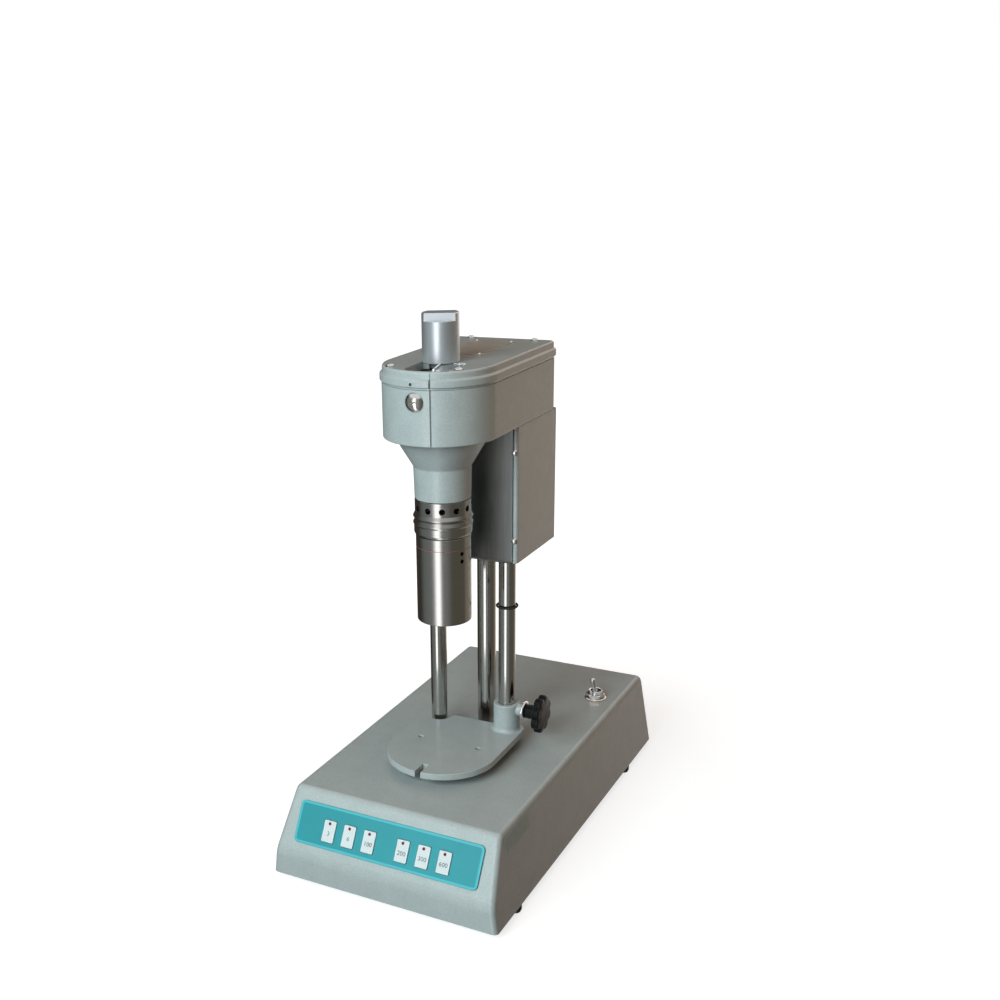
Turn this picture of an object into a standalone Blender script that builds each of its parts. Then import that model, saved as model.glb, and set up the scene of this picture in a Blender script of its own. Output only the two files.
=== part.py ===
"""Six-speed rotational viscometer: a keypad base, three columns, a sliding sample stage and a geared rotor head.

Units are metres, Z is up, -Y is the keypad side and the origin lies on the table under the middle of the base.
"""
import math

import bmesh
import bpy
from mathutils import Matrix, Vector

ASSEMBLY = "rotational_viscometer"

# Clearances
SEAT = 0.0003  # between two pieces that touch
SLIDE = 0.0003  # all round a piece that slides or turns in a hole
ROUND_STEPS = 24  # facets round a visible turned piece
SMALL_STEPS = 14  # facets round a small or hidden one
BORE_STEPS = 28  # facets of a bore that a column passes through

# Base case
FOOT_HEIGHT = 0.006
BASE_BOTTOM_WIDTH = 0.1878
BASE_TOP_WIDTH = 0.1710
BASE_FRONT = -0.17235
BASE_REAR = 0.17235
TOP_FRONT = -0.14643
TOP_REAR = 0.16476
BEND_HEIGHT = 0.0262
BASE_HEIGHT = 0.0708
SHEET = 0.0020
BEND_RADIUS = 0.020
TOP_EDGE_RADIUS = 0.006
SIDE_EDGE_ROUND = 0.004
FOOT_RADIUS = 0.0052
FOOT_TREAD = 0.0044
FOOT_INSET = 0.0052
FOOT_FRONT = -0.1290
FOOT_REAR = 0.1110
PLATE_THICKNESS = 0.0016

# Keypad
PANEL_WIDTH = 0.1530
PANEL_HEIGHT = 0.0324
PANEL_THICKNESS = 0.0010
PANEL_CORNER = 0.0040
KEY_WIDTH = 0.0100
KEY_HEIGHT = 0.0163
KEY_PROUD = 0.0006
KEY_TRAVEL = 0.0006
KEY_RISE = -0.0026
KEY_PLACES = {"3": -0.0480, "6": -0.0310, "100": -0.0140, "200": 0.0140, "300": 0.0310, "600": 0.0480}
KEY_FLANGE = 0.0012
KEY_FLANGE_THICKNESS = 0.0010
SWITCH_WIDTH = 0.0060
SWITCH_HEIGHT = 0.0035
BOARD_THICKNESS = 0.0016
BOARD_WIDTH = 0.1460
BOARD_HEIGHT = 0.0280
BOARD_POST_RADIUS = 0.0025
BOARD_POST_INSET = 0.0040

# Toggle switch on the case's top
TOGGLE_INSET = 0.0203
TOGGLE_Y = 0.1003
BUSH_RADIUS = 0.00585
BUSH_RISE = 0.0075
BUSH_BORE = 0.0043
BUSH_DEPTH = 0.0060
WASHER_RADIUS = 0.0092
WASHER_THICKNESS = 0.0010
NUT_FLATS = 0.0140
NUT_THICKNESS = 0.0030
SWITCH_BODY = (0.0260, 0.0130, 0.0180)
LEVER_BALL = 0.0037
LEVER_ROOT_RADIUS = 0.0016
LEVER_TIP_RADIUS = 0.0023
LEVER_LENGTH = 0.0165
LEVER_PIVOT_RISE = 0.0015
LEVER_THROW = math.radians(12)

# Panel in the rear wall, with the power inlet and the fuse
REAR_PANEL_HALF_WIDTH = 0.0740
REAR_PANEL_RISE = 0.0180
REAR_PANEL_DROP = 0.0260
REAR_PANEL_CORNER = 0.0030
INLET_X = -0.0450
FUSE_X = -0.0050
REAR_FITTING_RISE = 0.0340
INLET_FLANGE = (0.0480, 0.0225, 0.0020)
INLET_BODY = (0.0264, 0.0192, 0.0220)
INLET_HOLLOW = (0.0240, 0.0164, 0.0170)
PIN_SIZE = (0.0020, 0.0040, 0.0120)
PIN_SPACING = 0.0140
PIN_DROP = 0.0040
FUSE_BODY_RADIUS = 0.0060
FUSE_CAP_RADIUS = 0.0078
FUSE_CAP_RISE = 0.0026
FUSE_CAP_FACE = 0.0066
FUSE_CAP_BAND = 0.0017
FUSE_BODY_LENGTH = 0.0250
FUSE_SLOT = 0.0014

# Electrics in the base
TRANSFORMER_SIZE = (0.0560, 0.0440, 0.0380)
TRANSFORMER_PLACE = (-0.0400, 0.1050)
COIL_OVERHANG = 0.0060
COIL_WIDTH = 0.0308
COIL_HEIGHT = 0.0228
DRIVE_BOARD_SIZE = (0.0800, 0.0560, 0.0016)
DRIVE_BOARD_PLACE = (0.0050, -0.0900)
BOARD_STANDOFF = 0.0060
CAPACITOR_RADIUS = 0.0080
CAPACITOR_HEIGHT = 0.0220
CAPACITOR_SPACING = 0.0224

# Columns
COLUMN_SPACING = 0.0603
COLUMN_Y = -0.01017
COLUMN_RADIUS = 0.0067
COLUMN_EDGE = 0.0007
REAR_COLUMN_Y = 0.01762
REAR_COLUMN_RADIUS = 0.0076
STUD_RADIUS = 0.0050
COLUMN_NUT_FLATS = 0.0170
COLUMN_NUT_THICKNESS = 0.0060
TOP_STUD_RADIUS = 0.0040
TOP_STUD_LENGTH = 0.0050
FRAME_THICKNESS = 0.0100
FRAME_MARGIN = 0.0110
FRAME_LEG = 0.0060
STOP_RING_HEIGHT = 0.1888
STOP_RING_WIRE = 0.0011

# Stage
STAGE_OVER_CASE = 0.01245
STAGE_THICKNESS = 0.0052
STAGE_HALF_WIDTH = 0.0440
STAGE_ROUND_Y = -0.0650
STAGE_REAR = -0.0068
STAGE_TAIL_X = -0.0192
NOTCH_RADIUS = 0.0105
NOTCH_LEAD = 18
NOTCH_END = -115
NOTCH_FLAT = 0.0030
STAGE_SLOT_WIDTH = 0.0046
STAGE_SLOT_END = -0.0950
PEG_SPACING = 0.0502
PEG_Y = -0.0541
PEG_HOLE_RADIUS = 0.0021
BOSS_RADIUS = 0.0105
BOSS_RISE = 0.02295
BOSS_FLARE = 0.0012
CLAMP_RISE = 0.01805
CLAMP_PAD_RADIUS = 0.0049
CLAMP_PAD_END = 0.0442
CLAMP_SCREW_RADIUS = 0.0029
CLAMP_SCREW_POINT = 0.0017
CLAMP_WASHER_RADIUS = 0.0080
CLAMP_WASHER_THICKNESS = 0.0028
CLAMP_WASHER_LIP = 0.0011
KNOB_SHANK_RADIUS = 0.0056
KNOB_SHANK_LENGTH = 0.0086
KNOB_RADIUS = 0.0150
KNOB_THICKNESS = 0.0065
KNOB_LOBES = 8
KNOB_LOBE_DEPTH = 0.0022
KNOB_STEPS_PER_LOBE = 6
KNOB_EDGE = 0.0008

# Head casting and lid
AXIS_Y = -0.0588
HEAD_RADIUS = 0.0426
HEAD_REAR = 0.0545
HEAD_REAR_CORNER = 0.0060
HEAD_CORNER_LEAST = 0.0008
HEAD_BOTTOM = 0.3326
HEAD_HEIGHT = 0.0398
HEAD_WALL = 0.0040
HEAD_FLOOR = 0.0070
HEAD_EDGE = 0.0010
CONE_TOP_RADIUS = 0.0346
CONE_HEIGHT = 0.0223
NECK_TOP_RADIUS = 0.0214
NECK_BOTTOM_RADIUS = 0.0208
NECK_HEIGHT = 0.0239
SPIGOT_RADIUS = 0.0176
SPIGOT_LENGTH = 0.0034
SEAM_X = 0.0120
SEAM_WIDTH = 0.0015
SEAM_DEPTH = 0.0012
LID_HEIGHT = 0.0125
LID_PLATE = 0.0056
LID_BEAD = 0.0013
LID_BEAD_BOTTOM = 0.0014
LID_BEAD_HEIGHT = 0.0062
LID_SHOULDER = 0.0005
LID_TOP_ROUND = 0.0018
WELL_LEFT = -0.0135
WELL_RIGHT = 0.0195
WELL_REAR = -0.0600
WELL_RIM = 0.0032
WINDOW_THICKNESS = 0.0020
WINDOW_EDGE_FRONT = 0.0110
WINDOW_EDGE_REAR = 0.0040
WINDOW_LEDGE = 0.0025
WINDOW_REAR = -0.06348
CAP_HOLE_RADIUS = 0.0090
CAP_RADIUS = 0.01336
CAP_HEIGHT = 0.0348
CAP_WALL = 0.0015
CAP_CROWN = 0.0072
CAP_EDGE = 0.0006
CAP_FLATS = 0.0180
CAP_FLAT_HEIGHT = 0.0056
CAP_TURN = math.radians(27)
FRONT_SCREW_RISE = 0.0312
FRONT_SCREW_RADIUS = 0.0070
FRONT_SCREW_DOME = 0.0036
FRONT_SCREW_SLOT = 0.0016
FRONT_SCREW_SLOT_LENGTH = 0.0077
FRONT_SCREW_TURN = math.radians(25)
FRONT_SCREW_SHANK = 0.0028

# Splash guard, rotor sleeve, spindle and bearings
GUARD_BAND_RADIUS = 0.0209
GUARD_RIB_RADIUS = 0.0223
GUARD_LOWER_RADIUS = 0.0217
GUARD_BORE = 0.0194
GUARD_BAND_HEIGHT = 0.0089
GUARD_RIB_HEIGHT = 0.0054
GUARD_RIB_TOP = 0.0011
GUARD_RIB_FOOT = 0.0032
GUARD_RIB_VALLEY = 0.0049
GUARD_VALLEY_DEPTH = 0.0008
GUARD_STEP = 0.0004
GUARD_LIP = 0.0016
GUARD_HEIGHT = 0.0271
GUARD_HOLES = 12
GUARD_HOLE_RADIUS = 0.0023
GUARD_HOLE_DROP = 0.0062
GUARD_HOLE_TURN = math.radians(-7)
ROTOR_DROP = 0.0952
ROTOR_RADIUS = 0.02055
ROTOR_BORE = 0.018415
ROTOR_LENGTH = 0.0672
ROTOR_NECK_RADIUS = 0.0188
ROTOR_NECK_LENGTH = 0.0136
ROTOR_TOP_EDGE = 0.0004
ROTOR_LOW_EDGE = 0.0006
ROTOR_THREAD_DEPTH = 0.0150
ROTOR_HOLE_RADIUS = 0.00159
ROTOR_HOLE_RISES = (0.0553, 0.0495)
ROTOR_HOLE_TURN = math.radians(67)
HUB_RADIUS = 0.0158
HUB_DEPTH = 0.0105
HUB_SHOULDER = 0.0020
SPINDLE_RADIUS = 0.0075
SPINDLE_BORE = 0.0046
SPINDLE_OVER_GEAR = 0.0030
SPINDLE_COLLAR_RADIUS = 0.0096
SPINDLE_COLLAR_LENGTH = 0.0060
BEARING_RADIUS = 0.0140
BEARING_WIDTH = 0.0070
BEARING_SHOULDER_RADIUS = 0.0115
LOWER_BEARING_RISE = 0.0016
BOB_RADIUS = 0.017245
BOB_LENGTH = 0.0380
BOB_RISE = 0.0080
BOB_TAPER = 0.0090
BOB_NECK_RADIUS = 0.0040
BOB_DISH = 0.0010
BOB_RIM = 0.0020
SHAFT_RADIUS = 0.0030
SHAFT_OVER_COLLAR = 0.0055
SMALL_BEARING_RADIUS = 0.0062
SMALL_BEARING_WIDTH = 0.0040

# Gear train
GEAR_MODULE = 0.0015
ADDENDUM = 0.8
DEDENDUM = 1.1
PRESSURE_ANGLE = math.radians(20)
BACKLASH = 0.00035
SPINDLE_TEETH = 36
IDLER_TEETH = 40
PINION_TEETH = 12
GEAR_CLEARANCE = 0.0024
GEAR_WIDTH = 0.0070
IDLER_BORE = 0.0050
IDLER_HOLES = 5
IDLER_HOLE_RADIUS = 0.0058
IDLER_HOLE_RING = 0.0185
IDLER_CLIP_WIDTH = 0.0020
IDLER_CLIP_THICKNESS = 0.0015
IDLER_SHELF_WIDTH = 0.0030
MOTOR_RADIUS = 0.0152
MOTOR_OFFSET = 0.0038
MOTOR_LENGTH = 0.0680
GEARHEAD_LENGTH = 0.0258
MOTOR_CAN_RADIUS = 0.0141
MOTOR_EDGE = 0.0010
MOTOR_SHAFT_RADIUS = 0.0030
MOTOR_SHAFT_PROUD = 0.0020
MOTOR_BOSS_RADIUS = 0.0060
MOTOR_BOSS_RISE = 0.0040
BRIDGE_CLEARANCE = 0.0055
BRIDGE_THICKNESS = 0.0040
BRIDGE_HALF_LENGTH = 0.0372
BRIDGE_WIDTH = 0.0190
BRIDGE_POST_RADIUS = 0.0035

# Dial and torsion spring
DIAL_RADIUS = 0.0350
DIAL_OVER_HEAD = 0.0051
DIAL_THICKNESS = 0.0016
DIAL_HUB_RADIUS = 0.0065
DIAL_HUB_HEIGHT = 0.0060
SPRING_COLLAR_RADIUS = 0.0080
SPRING_COLLAR_RISE = 0.0023
SPRING_COLLAR_THICKNESS = 0.0030
SPRING_RADIUS = 0.0072
SPRING_WIRE = 0.0005
SPRING_TURNS = 6
SPRING_STEPS = 10
ARBOR_THICKNESS = 0.0045
ARBOR_STEM_RADIUS = 0.0040
ARBOR_STEM_LENGTH = 0.0110

# Motor box behind the neck
BOX_HALF_WIDTH = 0.0419
BOX_FRONT = -0.0184
BOX_REAR = 0.0592
BOX_HEIGHT = 0.1058
BOX_SHEET = 0.0012
BOX_FLANGE = 0.0034
BOX_CORNER = 0.0030
BOX_FRONT_CORNER = 0.0024

# Values that follow from the sizes above
CASE_BOTTOM = FOOT_HEIGHT
CASE_INSIDE = BASE_HEIGHT - SHEET
SLOPE_RUN = TOP_FRONT - BASE_FRONT
SLOPE_RISE = BASE_HEIGHT - BEND_HEIGHT
SLOPE_ANGLE = math.atan2(SLOPE_RISE, SLOPE_RUN)
REAR_LEAN = math.atan2(BASE_REAR - TOP_REAR, BASE_HEIGHT - CASE_BOTTOM)
PLATE_TOP = CASE_BOTTOM + PLATE_THICKNESS
FRAME_TOP = CASE_INSIDE - SEAT
FRAME_BOTTOM = FRAME_TOP - FRAME_THICKNESS
COLUMN_TOP = HEAD_BOTTOM - SEAT
COLUMN_X = COLUMN_SPACING / 2
TOGGLE_X = BASE_TOP_WIDTH / 2 - TOGGLE_INSET
STAGE_TOP = BASE_HEIGHT + STAGE_OVER_CASE
STAGE_BOTTOM = STAGE_TOP - STAGE_THICKNESS
BOSS_TOP = STAGE_TOP + BOSS_RISE
CLAMP_HEIGHT = STAGE_TOP + CLAMP_RISE
UPPER_BEARING_BOTTOM = HEAD_BOTTOM + HEAD_FLOOR - BEARING_WIDTH - SEAT
IDLER_Y = AXIS_Y + GEAR_MODULE * (SPINDLE_TEETH + IDLER_TEETH) / 2
PINION_Y = IDLER_Y + GEAR_MODULE * (IDLER_TEETH + PINION_TEETH) / 2
MOTOR_Y = PINION_Y + MOTOR_OFFSET
FLOOR_TOP = HEAD_BOTTOM + HEAD_FLOOR
HEAD_TOP = HEAD_BOTTOM + HEAD_HEIGHT
LID_BOTTOM = HEAD_TOP + SEAT
LID_TOP = LID_BOTTOM + LID_HEIGHT
CAP_BOTTOM = LID_TOP + SEAT
CAP_TOP = LID_TOP + CAP_HEIGHT
CAP_CEILING = CAP_TOP - CAP_CROWN
FRONT_SCREW_HEIGHT = HEAD_BOTTOM + FRONT_SCREW_RISE
CONE_BOTTOM = HEAD_BOTTOM - CONE_HEIGHT
NECK_BOTTOM = CONE_BOTTOM - NECK_HEIGHT
LOWER_BEARING_BOTTOM = NECK_BOTTOM + LOWER_BEARING_RISE
ROTOR_BOTTOM = NECK_BOTTOM - ROTOR_DROP
ROTOR_SHOULDER = ROTOR_BOTTOM + ROTOR_LENGTH
ROTOR_NECK_TOP = ROTOR_SHOULDER + ROTOR_NECK_LENGTH
HUB_BOTTOM = ROTOR_NECK_TOP - HUB_DEPTH
BOB_BOTTOM = ROTOR_BOTTOM + BOB_RISE
GEAR_BOTTOM = FLOOR_TOP + GEAR_CLEARANCE
GEAR_TOP = GEAR_BOTTOM + GEAR_WIDTH
SPINDLE_TOP = GEAR_TOP + SPINDLE_OVER_GEAR
BRIDGE_HEIGHT = GEAR_TOP + BRIDGE_CLEARANCE
DIAL_TOP = HEAD_TOP + DIAL_OVER_HEAD
SPRING_COLLAR_BOTTOM = LID_TOP + SPRING_COLLAR_RISE
SPRING_COLLAR_TOP = SPRING_COLLAR_BOTTOM + SPRING_COLLAR_THICKNESS
SHAFT_TOP = SPRING_COLLAR_TOP + SHAFT_OVER_COLLAR
BOX_BOTTOM = HEAD_BOTTOM - BOX_HEIGHT


def start_scene():
    """Empties the scene and makes one collection for the pieces and one for the cutters."""
    for obj in list(bpy.data.objects):
        bpy.data.objects.remove(obj, do_unlink=True)
    made = []
    for name in (ASSEMBLY, "cutters"):
        collection = bpy.data.collections.new(name)
        bpy.context.scene.collection.children.link(collection)
        made.append(collection)
    made[1].hide_render = True
    return made


PIECES, CUTTERS = start_scene()


def make_material(name, colour, roughness, metallic):
    material = bpy.data.materials.new(name)
    material.use_nodes = True
    shader = material.node_tree.nodes["Principled BSDF"]
    shader.inputs["Base Color"].default_value = (*colour, 1.0)
    shader.inputs["Roughness"].default_value = roughness
    shader.inputs["Metallic"].default_value = metallic
    material.diffuse_color = (*colour, 1.0)
    return material


FINISHES = {
    "hammered_paint": ((0.36, 0.42, 0.41), 0.45, 0.0),
    "ground_steel": ((0.62, 0.61, 0.58), 0.22, 1.0),
    "brushed_steel": ((0.50, 0.50, 0.49), 0.32, 1.0),
    "satin_aluminium": ((0.70, 0.72, 0.75), 0.30, 1.0),
    "black_plastic": ((0.015, 0.015, 0.017), 0.28, 0.0),
    "black_rubber": ((0.02, 0.02, 0.02), 0.75, 0.0),
    "keypad_film": ((0.05, 0.45, 0.49), 0.35, 0.0),
    "key_film": ((0.85, 0.88, 0.90), 0.40, 0.0),
    "bright_plate": ((0.80, 0.78, 0.74), 0.15, 1.0),
    "brass": ((0.72, 0.52, 0.28), 0.30, 1.0),
    "window_glass": ((0.75, 0.80, 0.80), 0.05, 0.0),
    "dial_enamel": ((0.86, 0.86, 0.82), 0.50, 0.0),
    "circuit_board": ((0.03, 0.22, 0.10), 0.50, 0.0),
    "winding": ((0.45, 0.20, 0.08), 0.45, 0.0),
}


def dressed(obj, finish):
    """Gives the object its own material of the named finish."""
    obj.data.materials.clear()
    obj.data.materials.append(make_material(f"{obj.name}_{finish}", *FINISHES[finish]))
    return obj


def new_object(name, mesh, finish=None, parent=None):
    """Adds a mesh as a piece, or as a cutter where it has no finish."""
    obj = bpy.data.objects.new(name, mesh)
    (PIECES if finish else CUTTERS).objects.link(obj)
    if finish:
        dressed(obj, finish)
    else:
        obj.hide_render = True
        obj.display_type = "WIRE"
    obj.parent = parent
    return obj


def empty(name, location, rotation=(0, 0, 0), parent=None):
    """An axis or a datum that pieces hang on."""
    obj = bpy.data.objects.new(name, None)
    PIECES.objects.link(obj)
    obj.empty_display_size = 0.01
    obj.location = location
    obj.rotation_euler = rotation
    obj.parent = parent
    return obj


def smoothed(obj, angle=35):
    obj.data.shade_smooth()
    obj.data.set_sharp_from_angle(angle=math.radians(angle))
    return obj


def mesh_from(bm, name):
    bmesh.ops.recalc_face_normals(bm, faces=bm.faces)
    mesh = bpy.data.meshes.new(name)
    bm.to_mesh(mesh)
    bm.free()
    return mesh


def block(name, size, centre, finish=None, parent=None, bevel=0.0):
    """A box with its middle at centre."""
    bm = bmesh.new()
    bmesh.ops.create_cube(bm, size=1.0)
    bmesh.ops.scale(bm, vec=size, verts=bm.verts)
    bmesh.ops.translate(bm, vec=centre, verts=bm.verts)
    obj = new_object(name, mesh_from(bm, name), finish, parent)
    if bevel:
        modifier = obj.modifiers.new("rounded_edges", "BEVEL")
        modifier.width = bevel
        modifier.segments = 2
    return obj


def rod(name, radius, low, high, centre=(0, 0), finish=None, parent=None, steps=SMALL_STEPS, axis="Z"):
    """A plain cylinder from low to high along an axis, with centre in the plane across it."""
    bm = bmesh.new()
    bmesh.ops.create_cone(bm, cap_ends=True, segments=steps, radius1=radius, radius2=radius, depth=high - low)
    middle = Vector((0, 0, (low + high) / 2))
    bmesh.ops.translate(bm, vec=middle, verts=bm.verts)
    turns = {"Z": Matrix(), "X": Matrix.Rotation(math.pi / 2, 4, "Y"), "Y": Matrix.Rotation(-math.pi / 2, 4, "X")}
    bmesh.ops.transform(bm, matrix=turns[axis], verts=bm.verts)
    across = {"Z": (centre[0], centre[1], 0), "X": (0, centre[0], centre[1]), "Y": (centre[0], 0, centre[1])}
    bmesh.ops.translate(bm, vec=across[axis], verts=bm.verts)
    obj = new_object(name, mesh_from(bm, name), finish, parent)
    return smoothed(obj) if finish else obj


def turned(name, profile, finish=None, parent=None, steps=ROUND_STEPS, closed=False, location=(0, 0, 0)):
    """A turned piece: profile is (radius, height) pairs that run from the top down the outer side."""
    mesh = bpy.data.meshes.new(name)
    points = [(radius, 0, height) for radius, height in profile]
    edges = [(i, i + 1) for i in range(len(points) - 1)]
    if closed:
        edges.append((len(points) - 1, 0))
    mesh.from_pydata(points, edges, [])
    obj = new_object(name, mesh, finish, parent)
    obj.location = location
    screw = obj.modifiers.new("turned", "SCREW")
    screw.axis = "Z"
    screw.steps = steps
    screw.render_steps = steps
    screw.use_merge_vertices = True
    screw.merge_threshold = 0.000001
    screw.use_smooth_shade = True
    return obj


def flat(name, outlines, low, high, finish=None, parent=None):
    """A flat outline given as a closed loop of points, with any holes as more loops, from low to high in Z."""
    curve = bpy.data.curves.new(name, "CURVE")
    curve.dimensions = "2D"
    curve.fill_mode = "BOTH"
    curve.extrude = (high - low) / 2
    for outline in outlines:
        spline = curve.splines.new("POLY")
        spline.points.add(len(outline) - 1)
        for point, (x, y) in zip(spline.points, outline):
            point.co = (x, y, 0, 1)
        spline.use_cyclic_u = True
    guide = bpy.data.objects.new(f"{name}_outline", curve)
    CUTTERS.objects.link(guide)
    bpy.context.view_layer.update()
    evaluated = guide.evaluated_get(bpy.context.evaluated_depsgraph_get())
    mesh = bpy.data.meshes.new_from_object(evaluated)
    bpy.data.objects.remove(guide)
    bm = bmesh.new()
    bm.from_mesh(mesh)
    bmesh.ops.remove_doubles(bm, verts=bm.verts, dist=0.000002)
    if len(outlines) == 1:
        bmesh.ops.dissolve_limit(bm, angle_limit=0.0001, verts=bm.verts, edges=bm.edges)
    bmesh.ops.translate(bm, vec=(0, 0, (low + high) / 2), verts=bm.verts)
    return new_object(name, mesh_from(bm, name), finish, parent)


def turn_mesh(obj, matrix):
    obj.data.transform(matrix)
    return obj


def combined(obj, others, operation):
    """Cuts the others from the object, or joins them to it, one Boolean each."""
    for other in others:
        modifier = obj.modifiers.new(f"{operation.lower()}_{other.name}", "BOOLEAN")
        modifier.operation = operation
        modifier.object = other
        modifier.solver = "EXACT"
    return obj


def cut(obj, *others):
    return combined(obj, others, "DIFFERENCE")


def join(obj, *others):
    return combined(obj, others, "UNION")


def arc(cx, cy, radius, start, end, steps):
    """Points on an arc, both ends included; angles in degrees."""
    angles = [math.radians(start + (end - start) * i / steps) for i in range(steps + 1)]
    return [(cx + radius * math.cos(a), cy + radius * math.sin(a)) for a in angles]


def circle(cx, cy, radius, steps):
    return arc(cx, cy, radius, 0, 360 - 360 / steps, steps - 1)


def rounded_rectangle(left, low, right, high, radius, steps=3):
    return (
        arc(right - radius, high - radius, radius, 0, 90, steps)
        + arc(left + radius, high - radius, radius, 90, 180, steps)
        + arc(left + radius, low + radius, radius, 180, 270, steps)
        + arc(right - radius, low + radius, radius, 270, 360, steps)
    )


def hexagon(flats):
    return circle(0, 0, flats / math.sqrt(3), 6)


def fillet(corner, before, after, radius, steps):
    """The arc that rounds the corner of a path, from the leg before it to the leg after it."""
    corner, before, after = Vector(corner), Vector(before), Vector(after)
    into, out = (before - corner).normalized(), (after - corner).normalized()
    half = into.angle(out) / 2
    middle = corner + (into + out).normalized() * (radius / math.sin(half))
    start = corner + into * (radius / math.tan(half))
    end = corner + out * (radius / math.tan(half))
    first = math.atan2(start.y - middle.y, start.x - middle.x)
    sweep = math.atan2(end.y - middle.y, end.x - middle.x) - first
    sweep = (sweep + math.pi) % (2 * math.pi) - math.pi
    angles = [first + sweep * i / steps for i in range(steps + 1)]
    return [(middle.x + radius * math.cos(a), middle.y + radius * math.sin(a)) for a in angles]


def sheet_from_path(name, path, low, high, thickness, finish):
    """A bent sheet: an open path in the XY plane, drawn up in Z and thickened to its left."""
    bm = bmesh.new()
    ends = [[bm.verts.new((x, y, z)) for x, y in path] for z in (low, high)]
    for i in range(len(path) - 1):
        bm.faces.new((ends[0][i], ends[0][i + 1], ends[1][i + 1], ends[1][i]))
    mesh = bpy.data.meshes.new(name)
    bm.to_mesh(mesh)
    bm.free()
    obj = new_object(name, mesh, finish)
    shell = obj.modifiers.new("sheet", "SOLIDIFY")
    shell.thickness = thickness
    shell.offset = -1
    shell.use_even_offset = True
    return obj


def lofted(name, rings, finish=None):
    """A solid through rings of equal point count, each a (list of points, height) pair from bottom to top."""
    bm = bmesh.new()
    rows = [[bm.verts.new((x, y, z)) for x, y in points] for points, z in rings]
    count = len(rows[0])
    for low, high in zip(rows, rows[1:]):
        for i in range(count):
            j = (i + 1) % count
            bm.faces.new((low[i], low[j], high[j], high[i]))
    bm.faces.new(rows[0])
    bm.faces.new(rows[-1])
    return new_object(name, mesh_from(bm, name), finish)


# Base


def case_half_width(z):
    share = (z - CASE_BOTTOM) / (BASE_HEIGHT - CASE_BOTTOM)
    return (BASE_BOTTOM_WIDTH + (BASE_TOP_WIDTH - BASE_BOTTOM_WIDTH) * share) / 2


def case_profile():
    """The case's side view as (y, z) points, with its bends rounded."""
    corners = [
        (BASE_FRONT, CASE_BOTTOM),
        (BASE_FRONT, BEND_HEIGHT),
        (TOP_FRONT, BASE_HEIGHT),
        (TOP_REAR, BASE_HEIGHT),
        (BASE_REAR, CASE_BOTTOM),
    ]
    points = [corners[0]]
    for i, radius, steps in ((1, BEND_RADIUS, 4), (2, TOP_EDGE_RADIUS, 3), (3, TOP_EDGE_RADIUS, 4)):
        points += fillet(corners[i], corners[i - 1], corners[i + 1], radius, steps)
    return points + [corners[-1]]


def case_surface():
    """The case's outer surface: the profile drawn across, tapered with height, its side edges rounded."""
    profile = case_profile()
    bm = bmesh.new()
    sides = [[bm.verts.new((side * case_half_width(z), y, z)) for y, z in profile] for side in (-1, 1)]
    for i in range(len(profile) - 1):
        bm.faces.new((sides[0][i], sides[1][i], sides[1][i + 1], sides[0][i + 1]))
    bm.faces.new(sides[0])
    bm.faces.new(sides[1])
    bmesh.ops.recalc_face_normals(bm, faces=bm.faces)
    rim = [e for e in bm.edges if len(e.link_faces) == 2 and e.calc_face_angle() > math.radians(60)]
    bmesh.ops.bevel(bm, geom=rim, offset=SIDE_EDGE_ROUND, segments=2, affect="EDGES", profile=0.5)
    return mesh_from(bm, "base_case")


def slope_datum():
    """The middle of the sloped front face, with Y up the slope and Z out of it."""
    middle = (0, (BASE_FRONT + TOP_FRONT) / 2, (BEND_HEIGHT + BASE_HEIGHT) / 2)
    return empty("keypad_datum", middle, (SLOPE_ANGLE, 0, 0))


def rear_datum():
    """A point on the leaning rear wall, with Z out of it and Y up it."""
    rise = REAR_FITTING_RISE / math.cos(REAR_LEAN)
    y = BASE_REAR - rise * math.sin(REAR_LEAN)
    place = (0, y, CASE_BOTTOM + REAR_FITTING_RISE)
    return empty("rear_datum", place, (math.pi / 2 - REAR_LEAN, 0, math.pi))


def make_base_case(slope, rear):
    case = smoothed(new_object("base_case", case_surface(), "hammered_paint"), 25)
    shell = case.modifiers.new("sheet", "SOLIDIFY")
    shell.thickness = SHEET
    shell.offset = -1
    shell.use_even_offset = True
    deep = 4 * SHEET
    for label, x in KEY_PLACES.items():
        size = (KEY_WIDTH + 2 * SLIDE, KEY_HEIGHT + 2 * SLIDE, deep)
        cut(case, block(f"key_window_{label}", size, (x, KEY_RISE, 0), parent=slope))
    cut(case, rod("toggle_hole", BUSH_RADIUS + SLIDE, BASE_HEIGHT - deep, BASE_HEIGHT + deep, (TOGGLE_X, TOGGLE_Y)))
    for label, x, y, radius in columns():
        hole = rod(f"case_hole_{label}", radius + SLIDE, BASE_HEIGHT - deep, BASE_HEIGHT + deep, (x, y),
                   steps=ROUND_STEPS)
        cut(case, hole)
    cut(case, flat("rear_opening", [rear_panel_outline(SLIDE)], -deep, deep, parent=rear))


def rear_panel_outline(grow):
    """The panel in the rear wall's own plane, made larger all round by grow."""
    half = REAR_PANEL_HALF_WIDTH + grow
    return rounded_rectangle(-half, -REAR_PANEL_DROP - grow, half, REAR_PANEL_RISE + grow, REAR_PANEL_CORNER + grow)


def make_rear_panel(rear):
    """The sheet that fills the case's rear opening and carries the inlet and the fuse."""
    half_width = INLET_BODY[0] / 2 + SLIDE
    half_height = INLET_BODY[1] / 2 + SLIDE
    window = [
        (-INLET_X - half_width, -half_height),
        (-INLET_X + half_width, -half_height),
        (-INLET_X + half_width, half_height),
        (-INLET_X - half_width, half_height),
    ]
    hole = circle(-FUSE_X, 0, FUSE_BODY_RADIUS + SLIDE, SMALL_STEPS)
    flat("rear_panel", [rear_panel_outline(0), window, hole], -SHEET, 0, "hammered_paint", rear)


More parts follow.
